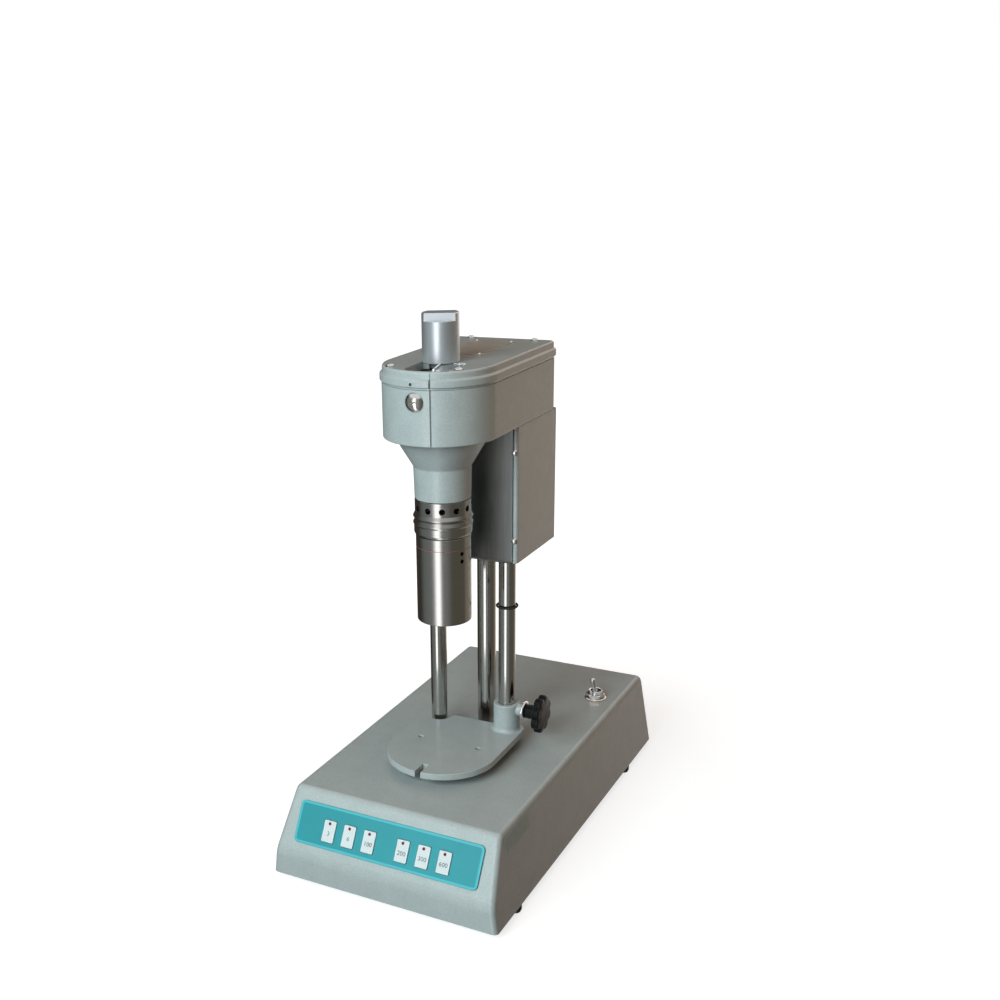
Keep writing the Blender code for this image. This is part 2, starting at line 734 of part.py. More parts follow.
def make_base_plate():
    """The sheet that closes the case from below, standing just inside its walls."""
    inset = SHEET / math.cos(REAR_LEAN) + 2 * SEAT
    half = case_half_width(PLATE_TOP) - inset
    outline = rounded_rectangle(-half, BASE_FRONT + inset, half, BASE_REAR - inset, 3 * SHEET)
    flat("base_plate", [outline], CASE_BOTTOM, PLATE_TOP, "hammered_paint")


def make_feet():
    across = BASE_BOTTOM_WIDTH / 2 - FOOT_INSET
    top = CASE_BOTTOM - SEAT
    profile = [
        (0, top),
        (FOOT_RADIUS, top),
        (FOOT_RADIUS, FOOT_HEIGHT / 3),
        (FOOT_TREAD, 0),
        (0, 0),
    ]
    for label, x, y in (
        ("front_left", -across, FOOT_FRONT),
        ("front_right", across, FOOT_FRONT),
        ("rear_left", -across, FOOT_REAR),
        ("rear_right", across, FOOT_REAR),
    ):
        turned(f"foot_{label}", profile, "black_rubber", steps=SMALL_STEPS, location=(x, y, 0))


# Keypad


def make_keypad(slope):
    low = SEAT
    high = low + PANEL_THICKNESS
    windows = []
    for x in KEY_PLACES.values():
        half_width = KEY_WIDTH / 2 + SLIDE
        half_height = KEY_HEIGHT / 2 + SLIDE
        windows.append([
            (x - half_width, KEY_RISE - half_height),
            (x + half_width, KEY_RISE - half_height),
            (x + half_width, KEY_RISE + half_height),
            (x - half_width, KEY_RISE + half_height),
        ])
    half_width, half_height = PANEL_WIDTH / 2, PANEL_HEIGHT / 2
    outline = rounded_rectangle(-half_width, -half_height, half_width, half_height, PANEL_CORNER, 4)
    flat("keypad_panel", [outline, *windows], low, high, "keypad_film", slope)

    key_top = high + KEY_PROUD
    flange_top = -SHEET - SEAT
    flange_low = flange_top - KEY_FLANGE_THICKNESS
    for label, x in KEY_PLACES.items():
        axis = empty(f"key_axis_{label}", (x, KEY_RISE, 0), parent=slope)
        cap_size = (KEY_WIDTH, KEY_HEIGHT, key_top - flange_low)
        key = block(f"key_{label}", cap_size, (0, 0, (key_top + flange_low) / 2), "key_film", axis)
        flange_size = (KEY_WIDTH + 2 * KEY_FLANGE, KEY_HEIGHT + 2 * KEY_FLANGE, KEY_FLANGE_THICKNESS)
        flange = block(f"key_flange_{label}", flange_size, (0, 0, (flange_top + flange_low) / 2), parent=axis)
        join(key, flange)

    switch_top = flange_low - SEAT - KEY_TRAVEL
    board_top = switch_top - SWITCH_HEIGHT
    board_size = (BOARD_WIDTH, BOARD_HEIGHT, BOARD_THICKNESS)
    board = block("key_board", board_size, (0, 0, board_top - BOARD_THICKNESS / 2), "circuit_board", slope)
    root = board_top - BOARD_THICKNESS / 2
    for label, x in KEY_PLACES.items():
        size = (SWITCH_WIDTH, SWITCH_WIDTH, switch_top - root)
        join(board, block(f"key_switch_{label}", size, (x, KEY_RISE, (switch_top + root) / 2), parent=slope))
    for side in (-1, 1):
        for end in (-1, 1):
            place = (side * (BOARD_WIDTH / 2 - BOARD_POST_INSET), end * (BOARD_HEIGHT / 2 - BOARD_POST_INSET))
            name = f"board_post_{side}_{end}"
            join(board, rod(name, BOARD_POST_RADIUS, root, -SHEET - SEAT, place, parent=slope, steps=12))


# Toggle switch


def make_toggle():
    under = CASE_INSIDE - SEAT
    bush_top = BASE_HEIGHT + BUSH_RISE
    pivot = BASE_HEIGHT + LEVER_PIVOT_RISE
    datum = empty("toggle_datum", (TOGGLE_X, TOGGLE_Y, 0))
    body = block("toggle_switch", SWITCH_BODY, (0, 0, under - SWITCH_BODY[2] / 2), "black_plastic", datum)
    bush = rod("toggle_bush", BUSH_RADIUS, under - SHEET, bush_top, parent=datum)
    well_floor = pivot - BUSH_DEPTH
    join(body, bush)
    cut(body, rod("toggle_bore", BUSH_BORE, well_floor, bush_top + SHEET, parent=datum))

    washer_low = BASE_HEIGHT + SEAT
    washer_top = washer_low + WASHER_THICKNESS
    hole = BUSH_RADIUS + SLIDE
    ring = [(hole, washer_top), (WASHER_RADIUS, washer_top), (WASHER_RADIUS, washer_low), (hole, washer_low)]
    turned("toggle_washer", ring, "brass", datum, steps=SMALL_STEPS, closed=True)

    nut_low = washer_top + SEAT
    loops = [hexagon(NUT_FLATS), circle(0, 0, hole, SMALL_STEPS)]
    flat("toggle_nut", loops, nut_low, nut_low + NUT_THICKNESS, "bright_plate", datum)

    axis = empty("toggle_axis", (0, 0, pivot), (0, -LEVER_THROW, 0), datum)
    tip = LEVER_LENGTH
    profile = [(0, tip)]
    profile += [(LEVER_TIP_RADIUS * math.sin(a), tip - LEVER_TIP_RADIUS * (1 - math.cos(a)))
                for a in (math.radians(40), math.radians(90))]
    neck = math.asin(LEVER_ROOT_RADIUS / LEVER_BALL)
    profile += [(LEVER_BALL * math.sin(a), LEVER_BALL * math.cos(a))
                for a in (neck + (math.pi - neck) * i / 5 for i in range(5))]
    profile.append((0, -LEVER_BALL))
    turned("toggle_lever", profile, "bright_plate", axis, steps=16)


# Rear fittings


def make_rear_fittings(rear):
    flange_low = SEAT
    flange_top = flange_low + INLET_FLANGE[2]
    x = -INLET_X
    inlet = block("power_inlet", INLET_FLANGE, (x, 0, (flange_low + flange_top) / 2), "black_plastic", rear)
    body_low = flange_top - INLET_BODY[2]
    size = (INLET_BODY[0], INLET_BODY[1], flange_low + INLET_FLANGE[2] / 2 - body_low)
    join(inlet, block("inlet_body", size, (x, 0, body_low + size[2] / 2), parent=rear))
    hollow_low = flange_top - INLET_HOLLOW[2]
    hollow = (INLET_HOLLOW[0], INLET_HOLLOW[1], INLET_HOLLOW[2] + SHEET)
    cut(inlet, block("inlet_hollow", hollow, (x, 0, hollow_low + hollow[2] / 2), parent=rear))
    places = ((-PIN_SPACING / 2, -PIN_DROP / 2), (PIN_SPACING / 2, -PIN_DROP / 2), (0, PIN_DROP / 2))
    for i, (px, py) in enumerate(places):
        size = (PIN_SIZE[0], PIN_SIZE[1], PIN_SIZE[2] + SHEET / 2)
        centre = (x + px, py, hollow_low - SHEET / 2 + size[2] / 2)
        join(inlet, block(f"inlet_pin_{i}", size, centre, parent=rear))

    x = -FUSE_X
    cap_top = SEAT + FUSE_CAP_RISE
    profile = [
        (0, cap_top),
        (FUSE_CAP_FACE, cap_top),
        (FUSE_CAP_RADIUS, SEAT + FUSE_CAP_BAND),
        (FUSE_CAP_RADIUS, SEAT),
        (FUSE_BODY_RADIUS, SEAT),
        (FUSE_BODY_RADIUS, -FUSE_BODY_LENGTH),
        (0, -FUSE_BODY_LENGTH),
    ]
    fuse = turned("fuse_holder", profile, "black_plastic", rear, steps=SMALL_STEPS, location=(x, 0, 0))
    slot = (FUSE_SLOT, 4 * FUSE_CAP_RADIUS, FUSE_SLOT)
    cut(fuse, block("fuse_slot", slot, (x, 0, cap_top), parent=rear))


# Electrics


def make_electrics():
    floor = PLATE_TOP + SEAT
    _, depth, height = TRANSFORMER_SIZE
    x, y = TRANSFORMER_PLACE
    core = block("transformer", TRANSFORMER_SIZE, (x, y, floor + height / 2), "winding")
    coil = (COIL_WIDTH, depth + 2 * COIL_OVERHANG, COIL_HEIGHT)
    join(core, block("transformer_coil", coil, (x, y, floor + height / 2)))

    x, y = DRIVE_BOARD_PLACE
    low = floor + BOARD_STANDOFF
    centre = (x, y, low + DRIVE_BOARD_SIZE[2] / 2)
    board = block("drive_board", DRIVE_BOARD_SIZE, centre, "circuit_board")
    for side in (-1, 1):
        for end in (-1, 1):
            place = (x + side * (DRIVE_BOARD_SIZE[0] / 2 - BOARD_POST_INSET),
                     y + end * (DRIVE_BOARD_SIZE[1] / 2 - BOARD_POST_INSET))
            join(board, rod(f"drive_post_{side}_{end}", BOARD_POST_RADIUS, floor, centre[2], place, steps=12))
    for side in (-1, 1):
        place = (x + side * CAPACITOR_SPACING / 2, y)
        top = centre[2] + CAPACITOR_HEIGHT
        join(board, rod(f"capacitor_{side}", CAPACITOR_RADIUS, centre[2], top, place, steps=16))


# Columns


def columns():
    """(name, x, y, radius) of each column."""
    return (
        ("left", -COLUMN_X, COLUMN_Y, COLUMN_RADIUS),
        ("right", COLUMN_X, COLUMN_Y, COLUMN_RADIUS),
        ("rear", 0, REAR_COLUMN_Y, REAR_COLUMN_RADIUS),
    )


def make_columns():
    frame_left = -COLUMN_X - COLUMN_RADIUS - FRAME_MARGIN
    frame_front = COLUMN_Y - COLUMN_RADIUS - FRAME_MARGIN
    frame_rear = REAR_COLUMN_Y + REAR_COLUMN_RADIUS + FRAME_MARGIN
    middle_y = (frame_front + frame_rear) / 2
    size = (-2 * frame_left, frame_rear - frame_front, FRAME_TOP - FRAME_BOTTOM)
    frame = block("column_frame", size, (0, middle_y, (FRAME_TOP + FRAME_BOTTOM) / 2), "satin_aluminium")
    foot = PLATE_TOP + SEAT
    for side in (-1, 1):
        leg = (FRAME_LEG, size[1], FRAME_BOTTOM - foot + FRAME_LEG)
        centre = (side * (-frame_left - FRAME_LEG / 2), middle_y, foot + leg[2] / 2)
        join(frame, block(f"frame_leg_{side}", leg, centre))
    shoulder = FRAME_TOP + SEAT
    nut_top = FRAME_BOTTOM - SEAT
    nut_low = nut_top - COLUMN_NUT_THICKNESS
    stud_low = nut_low - 2 * SHEET
    for label, x, y, radius in columns():
        cut(frame, rod(f"frame_hole_{label}", STUD_RADIUS + SLIDE, FRAME_BOTTOM - SHEET, FRAME_TOP + SHEET, (x, y)))
        profile = [
            (0, COLUMN_TOP + TOP_STUD_LENGTH),
            (TOP_STUD_RADIUS, COLUMN_TOP + TOP_STUD_LENGTH),
            (TOP_STUD_RADIUS, COLUMN_TOP),
            (radius - COLUMN_EDGE, COLUMN_TOP),
            (radius, COLUMN_TOP - COLUMN_EDGE),
            (radius, shoulder),
            (STUD_RADIUS, shoulder),
            (STUD_RADIUS, stud_low),
            (0, stud_low),
        ]
        turned(f"column_{label}", profile, "ground_steel", location=(x, y, 0))
        loops = [hexagon(COLUMN_NUT_FLATS), circle(0, 0, STUD_RADIUS + SLIDE, SMALL_STEPS)]
        nut = flat(f"column_nut_{label}", loops, nut_low, nut_top, "bright_plate")
        nut.location = (x, y, 0)
    ring_radius = COLUMN_RADIUS + SEAT + STOP_RING_WIRE
    section = [(ring_radius + STOP_RING_WIRE * math.sin(a), STOP_RING_HEIGHT + STOP_RING_WIRE * math.cos(a))
               for a in (2 * math.pi * i / 6 for i in range(6))]
    turned("stop_ring", section, "black_rubber", steps=20, closed=True, location=(COLUMN_X, COLUMN_Y, 0))


# Stage


def stage_outline():
    """The stage seen from above: round front, straight sides, a notch round the left column, a wrap at the right."""
    half = STAGE_HALF_WIDTH
    front = arc(0, STAGE_ROUND_Y, half, 180, 360, 24)
    wrap = half - COLUMN_X
    right = arc(COLUMN_X, COLUMN_Y, wrap, 0, 90, 6)
    shoulder = [(COLUMN_X - wrap, COLUMN_Y + wrap), (COLUMN_X - wrap, STAGE_REAR)]
    tail = [(STAGE_TAIL_X, STAGE_REAR)]
    first = math.degrees(math.atan2(STAGE_REAR - COLUMN_Y, STAGE_TAIL_X + COLUMN_X))
    bottom = NOTCH_END
    if NOTCH_RADIUS > half - COLUMN_X:
        bottom = math.degrees(-math.acos((-half + COLUMN_X) / NOTCH_RADIUS))
    notch = arc(-COLUMN_X, COLUMN_Y, NOTCH_RADIUS, first - NOTCH_LEAD, bottom, 8)
    left = [(-half, notch[-1][1] - NOTCH_FLAT)]
    return front + right + shoulder + tail + notch + left


def make_stage():
    plate = flat("stage_plate", [stage_outline()], STAGE_BOTTOM, STAGE_TOP, "hammered_paint")
    root = STAGE_BOTTOM + STAGE_THICKNESS / 2
    boss = [
        (0, BOSS_TOP),
        (BOSS_RADIUS - BOSS_FLARE / 2, BOSS_TOP),
        (BOSS_RADIUS, BOSS_TOP - BOSS_FLARE / 2),
        (BOSS_RADIUS, STAGE_TOP + BOSS_FLARE),
        (BOSS_RADIUS + BOSS_FLARE, STAGE_TOP),
        (BOSS_RADIUS + BOSS_FLARE, root),
        (0, root),
    ]
    join(plate, turned("stage_boss", boss, location=(COLUMN_X, COLUMN_Y, 0)))
    join(plate, rod("clamp_pad", CLAMP_PAD_RADIUS, COLUMN_X, CLAMP_PAD_END, (COLUMN_Y, CLAMP_HEIGHT),
                    steps=ROUND_STEPS, axis="X"))
    bore = rod("stage_bore", COLUMN_RADIUS + SLIDE, STAGE_BOTTOM - SHEET, BOSS_TOP + SHEET, (COLUMN_X, COLUMN_Y),
               steps=BORE_STEPS)
    tapped = rod("clamp_bore", CLAMP_SCREW_RADIUS + SLIDE, COLUMN_X, CLAMP_PAD_END + SHEET,
                 (COLUMN_Y, CLAMP_HEIGHT), axis="X")
    cut(plate, bore, tapped)
    deep = 3 * STAGE_THICKNESS
    slot_front = STAGE_ROUND_Y - STAGE_HALF_WIDTH - STAGE_SLOT_WIDTH
    slot_size = (STAGE_SLOT_WIDTH, STAGE_SLOT_END - slot_front, deep)
    cut(plate, block("stage_slot", slot_size, (0, (STAGE_SLOT_END + slot_front) / 2, STAGE_TOP)))
    for side in (-1, 1):
        centre = (side * PEG_SPACING / 2, PEG_Y)
        cut(plate, rod(f"peg_hole_{side}", PEG_HOLE_RADIUS, STAGE_TOP - deep, STAGE_TOP + deep, centre, steps=16))
    smoothed(plate)


def knob_outline():
    """A star knob's lobed edge."""
    steps = KNOB_STEPS_PER_LOBE * KNOB_LOBES
    points = []
    for i in range(steps):
        angle = 2 * math.pi * i / steps
        lobe = 0.5 - 0.5 * math.cos(KNOB_LOBES * angle)
        radius = KNOB_RADIUS - KNOB_LOBE_DEPTH * (1 - lobe) ** 2
        points.append((radius * math.cos(angle), radius * math.sin(angle)))
    return points


def make_clamp():
    """The clamp screw's axis is an empty whose Z runs out along +X, from the column's middle."""
    axis = empty("clamp_axis", (COLUMN_X, COLUMN_Y, CLAMP_HEIGHT), (0, math.pi / 2, 0))
    washer_low = CLAMP_PAD_END - COLUMN_X + SEAT
    washer_top = washer_low + CLAMP_WASHER_THICKNESS
    hole = CLAMP_SCREW_RADIUS + SLIDE
    ring = [
        (hole, washer_top),
        (CLAMP_WASHER_RADIUS - 2 * CLAMP_WASHER_LIP, washer_top),
        (CLAMP_WASHER_RADIUS, washer_top - CLAMP_WASHER_LIP),
        (CLAMP_WASHER_RADIUS, washer_low),
        (hole, washer_low),
    ]
    turned("clamp_washer", ring, "bright_plate", axis, closed=True)
    shank_low = washer_top + SEAT
    disc_low = shank_low + KNOB_SHANK_LENGTH
    disc_top = disc_low + KNOB_THICKNESS
    tip = COLUMN_RADIUS + SEAT
    head = disc_low + KNOB_THICKNESS / 2
    stud = [
        (0, head),
        (CLAMP_SCREW_RADIUS, head),
        (CLAMP_SCREW_RADIUS, tip + CLAMP_SCREW_RADIUS / 3),
        (CLAMP_SCREW_POINT, tip),
        (0, tip),
    ]
    turned("clamp_screw", stud, "bright_plate", axis, steps=SMALL_STEPS)
    knob = flat("clamp_knob", [knob_outline()], disc_low, disc_top, "black_plastic", axis)
    edge = knob.modifiers.new("rounded_edges", "BEVEL")
    edge.width = KNOB_EDGE
    edge.segments = 1
    edge.limit_method = "ANGLE"
    edge.angle_limit = math.radians(50)
    join(knob, rod("knob_shank", KNOB_SHANK_RADIUS, shank_low, head, parent=axis, steps=24))
    cut(knob, rod("knob_bore", CLAMP_SCREW_RADIUS + SLIDE, shank_low - SHEET, head + SEAT, parent=axis))
    smoothed(knob)


# Head casting and lid


def head_outline(inset):
    """The head seen from above, drawn in by inset: round front about the rotor's axis, square rear."""
    radius = HEAD_RADIUS - inset
    rear = HEAD_REAR - inset
    corner = max(HEAD_REAR_CORNER - inset, HEAD_CORNER_LEAST)
    return (
        arc(0, AXIS_Y, radius, 180, 360, 24)
        + arc(radius - corner, rear - corner, corner, 0, 90, 3)
        + arc(-radius + corner, rear - corner, corner, 90, 180, 3)
    )


def make_head_body():
    rounding = [(HEAD_EDGE * (1 - math.sin(a)), HEAD_BOTTOM + HEAD_EDGE * (1 - math.cos(a)))
                for a in (0, math.radians(45), math.radians(90))]
    rings = [(head_outline(inset), z) for inset, z in rounding]
    body = lofted("head_body", [*rings, (head_outline(0), HEAD_TOP)], "hammered_paint")
    hollow = lofted("head_hollow", [
        (head_outline(HEAD_WALL), FLOOR_TOP),
        (head_outline(HEAD_WALL), HEAD_TOP + SHEET),
    ])
    sink = HEAD_FLOOR / 2
    neck = turned("head_neck", [
        (0, HEAD_BOTTOM + sink),
        (CONE_TOP_RADIUS, HEAD_BOTTOM + sink),
        (CONE_TOP_RADIUS, HEAD_BOTTOM),
        (NECK_TOP_RADIUS, CONE_BOTTOM),
        (NECK_BOTTOM_RADIUS, NECK_BOTTOM),
        (SPIGOT_RADIUS, NECK_BOTTOM),
        (SPIGOT_RADIUS, NECK_BOTTOM - SPIGOT_LENGTH),
        (0, NECK_BOTTOM - SPIGOT_LENGTH),
    ], location=(0, AXIS_Y, 0))
    seat = BEARING_RADIUS + SLIDE
    lower_top = LOWER_BEARING_BOTTOM + BEARING_WIDTH + SEAT
    upper_low = UPPER_BEARING_BOTTOM - SEAT
    bore = turned("head_bore", [
        (0, FLOOR_TOP + SHEET),
        (seat, FLOOR_TOP + SHEET),
        (seat, upper_low),
        (BEARING_SHOULDER_RADIUS, upper_low),
        (BEARING_SHOULDER_RADIUS, lower_top),
        (seat, lower_top),
        (seat, NECK_BOTTOM - SPIGOT_LENGTH - SHEET),
        (0, NECK_BOTTOM - SPIGOT_LENGTH - SHEET),
    ], location=(0, AXIS_Y, 0))
    join(body, neck)
    cut(body, hollow, bore, seam_cutter("body_seam", HEAD_BOTTOM - SHEET, HEAD_TOP + SHEET, 0))
    for label, x, y, _ in columns():
        top = COLUMN_TOP + TOP_STUD_LENGTH + SEAT
        cut(body, rod(f"stud_hole_{label}", TOP_STUD_RADIUS + SLIDE, HEAD_BOTTOM - SHEET, top, (x, y)))
    cut(body, rod("motor_hole", MOTOR_BOSS_RADIUS + SLIDE, HEAD_BOTTOM - SHEET, FLOOR_TOP + SHEET, (0, PINION_Y)))
    pin_foot = FLOOR_TOP - HEAD_FLOOR / 2
    cut(body, rod("idler_pin_hole", idler_pin_radius() + SLIDE, pin_foot, FLOOR_TOP + SHEET, (0, IDLER_Y)))
    front = AXIS_Y - HEAD_RADIUS
    screw_hole = rod("front_screw_hole", FRONT_SCREW_SHANK + SLIDE, front - SHEET, front + 2 * HEAD_WALL,
                     (0, FRONT_SCREW_HEIGHT), axis="Y")
    cut(body, screw_hole)
    smoothed(body)


def seam_cutter(name, low, high, proud):
    """A narrow upright groove down the casting's front, right of its middle."""
    surface = AXIS_Y - math.sqrt((HEAD_RADIUS + proud) ** 2 - SEAM_X ** 2)
    reach = 2 * HEAD_WALL
    size = (SEAM_WIDTH, reach, high - low)
    return block(name, size, (SEAM_X, surface + SEAM_DEPTH - reach / 2, (low + high) / 2))


def well_outline():
    """The dial opening in the lid, whose front edge follows the lid's."""
    radius = HEAD_RADIUS - WELL_RIM
    right = math.degrees(math.acos(WELL_RIGHT / radius))
    left = math.degrees(math.acos(WELL_LEFT / radius))
    front = arc(0, AXIS_Y, radius, -left, -right, 10)
    return front + [(WELL_RIGHT, WELL_REAR), (WELL_LEFT, WELL_REAR)]


def make_lid():
    bead_low = LID_BOTTOM + LID_BEAD_BOTTOM
    bead_top = bead_low + LID_BEAD_HEIGHT
    fall = LID_TOP_ROUND
    rings = [(0, LID_BOTTOM), (-LID_BEAD, bead_low), (-LID_BEAD, bead_top - LID_BEAD), (LID_SHOULDER, bead_top)]
    rings += [(LID_SHOULDER + fall * (1 - math.cos(a)), LID_TOP - fall * (1 - math.sin(a)))
              for a in (0, math.radians(45), math.radians(90))]
    lid = lofted("head_lid", [(head_outline(inset), z) for inset, z in rings], "hammered_paint")
    ceiling = LID_TOP - LID_PLATE
    hollow = lofted("lid_hollow", [
        (head_outline(HEAD_WALL), LID_BOTTOM - SHEET),
        (head_outline(HEAD_WALL), ceiling),
    ])
    well = flat("dial_well", [well_outline()], ceiling - SHEET, LID_TOP + SHEET)
    cap_hole = rod("cap_hole", CAP_HOLE_RADIUS, ceiling - SHEET, LID_TOP + SHEET, (0, AXIS_Y), steps=ROUND_STEPS)
    cut(lid, hollow, well, cap_hole)
    cut(lid, seam_cutter("lid_seam", LID_BOTTOM - SHEET, LID_TOP + SHEET, LID_SHOULDER / 2))
    cut(lid, window_ledge())
    smoothed(lid)
    make_window()


def window_corners(grow):
    """The dial window's outline: it covers the right of the well and rests on a ledge round it."""
    radius = HEAD_RADIUS - WELL_RIM + WINDOW_LEDGE / 2 + grow
    right = WELL_RIGHT + WINDOW_LEDGE + grow
    rear = WINDOW_REAR + grow
    left_front = WINDOW_EDGE_FRONT - grow
    left_rear = WINDOW_EDGE_REAR - grow
    start = -math.degrees(math.acos(left_front / radius))
    end = -math.degrees(math.acos(right / radius))
    return arc(0, AXIS_Y, radius, start, end, 5) + [(right, rear), (left_rear, rear)]


def window_ledge():
    low = LID_TOP - WINDOW_THICKNESS - SEAT
    return flat("window_ledge", [window_corners(SLIDE)], low, LID_TOP + SHEET)


def make_window():
    top = LID_TOP
    flat("dial_window", [window_corners(0)], top - WINDOW_THICKNESS, top, "window_glass")


def make_cap():
    """The cap over the torsion spring, with two wrench flats at its top."""
    inside = CAP_RADIUS - CAP_WALL
    cap = turned("spring_cap", [
        (0, CAP_TOP),
        (CAP_RADIUS - CAP_EDGE, CAP_TOP),
        (CAP_RADIUS, CAP_TOP - CAP_EDGE),
        (CAP_RADIUS, CAP_BOTTOM),
        (inside, CAP_BOTTOM),
        (inside, CAP_CEILING),
        (0, CAP_CEILING),
    ], "satin_aluminium", steps=32, location=(0, AXIS_Y, 0))
    cap.rotation_euler = (0, 0, CAP_TURN)
    flat_axis = empty("cap_flats_datum", (0, AXIS_Y, 0), (0, 0, CAP_TURN))
    for side in (-1, 1):
        size = (4 * CAP_RADIUS, CAP_RADIUS, 2 * CAP_FLAT_HEIGHT)
        centre = (0, side * (CAP_FLATS / 2 + CAP_RADIUS / 2), CAP_TOP)
        cut(cap, block(f"cap_flat_{side}", size, centre, parent=flat_axis))


def make_front_screw():
    """The cross-slotted dome screw in the casting's front."""
    axis = empty("front_screw_axis", (0, AXIS_Y - HEAD_RADIUS - SEAT, FRONT_SCREW_HEIGHT), (math.pi / 2, 0, 0))
    rounding = (FRONT_SCREW_RADIUS ** 2 + FRONT_SCREW_DOME ** 2) / (2 * FRONT_SCREW_DOME)
    spread = math.asin(FRONT_SCREW_RADIUS / rounding)
    dome = [(rounding * math.sin(spread * i / 4), FRONT_SCREW_DOME - rounding * (1 - math.cos(spread * i / 4)))
            for i in range(5)]
    shank = HEAD_WALL + SEAT
    profile = dome[:-1] + [
        (FRONT_SCREW_RADIUS, 0),
        (FRONT_SCREW_SHANK, 0),
        (FRONT_SCREW_SHANK, -shank),
        (0, -shank),
    ]
    screw = turned("front_screw", profile, "bright_plate", axis, steps=20)
    tall = 2 * FRONT_SCREW_SLOT
    for turn in (0, 1):
        size = (FRONT_SCREW_SLOT, FRONT_SCREW_SLOT_LENGTH, tall)
        bar = block(f"screw_slot_{turn}", size, (0, 0, FRONT_SCREW_DOME), parent=axis)
        bar.rotation_euler = (0, 0, FRONT_SCREW_TURN + turn * math.pi / 2)
        cut(screw, bar)


# Rotor, bob and bearings


def make_guard():
    top = NECK_BOTTOM - SEAT
    low = top - GUARD_HEIGHT
    thread = SPIGOT_RADIUS + SLIDE
    band_low = top - GUARD_BAND_HEIGHT
    valley = GUARD_LOWER_RADIUS - GUARD_VALLEY_DEPTH
    profile = [(thread, top), (GUARD_BAND_RADIUS, top), (GUARD_BAND_RADIUS, band_low)]
    for rib in range(2):
        rib_top = band_low - rib * GUARD_RIB_HEIGHT
        profile += [
            (GUARD_RIB_RADIUS, rib_top - GUARD_RIB_TOP),
            (GUARD_RIB_RADIUS, rib_top - GUARD_RIB_FOOT),
            (valley, rib_top - GUARD_RIB_VALLEY),
        ]
    profile += [
        (GUARD_LOWER_RADIUS, band_low - 2 * GUARD_RIB_HEIGHT - GUARD_STEP),
        (GUARD_LOWER_RADIUS, low + GUARD_LIP),
        (GUARD_BAND_RADIUS, low),
        (GUARD_BORE, low),
        (GUARD_BORE, band_low - GUARD_RIB_HEIGHT / 2),
        (thread, band_low),
    ]
    guard = turned("splash_guard", profile, "ground_steel", closed=True, location=(0, AXIS_Y, 0))
    centre = empty("guard_datum", (0, AXIS_Y, 0))
    for i in range(GUARD_HOLES):
        angle = GUARD_HOLE_TURN + 2 * math.pi * i / GUARD_HOLES
        inner = SPIGOT_RADIUS - GUARD_HOLE_RADIUS
        outer = GUARD_BAND_RADIUS + GUARD_HOLE_RADIUS
        drill = rod(f"guard_drill_{i}", GUARD_HOLE_RADIUS, inner, outer, (0, top - GUARD_HOLE_DROP), parent=centre,
                    steps=8, axis="X")
        drill.rotation_euler = (0, 0, angle - math.pi / 2)
        cut(guard, drill)


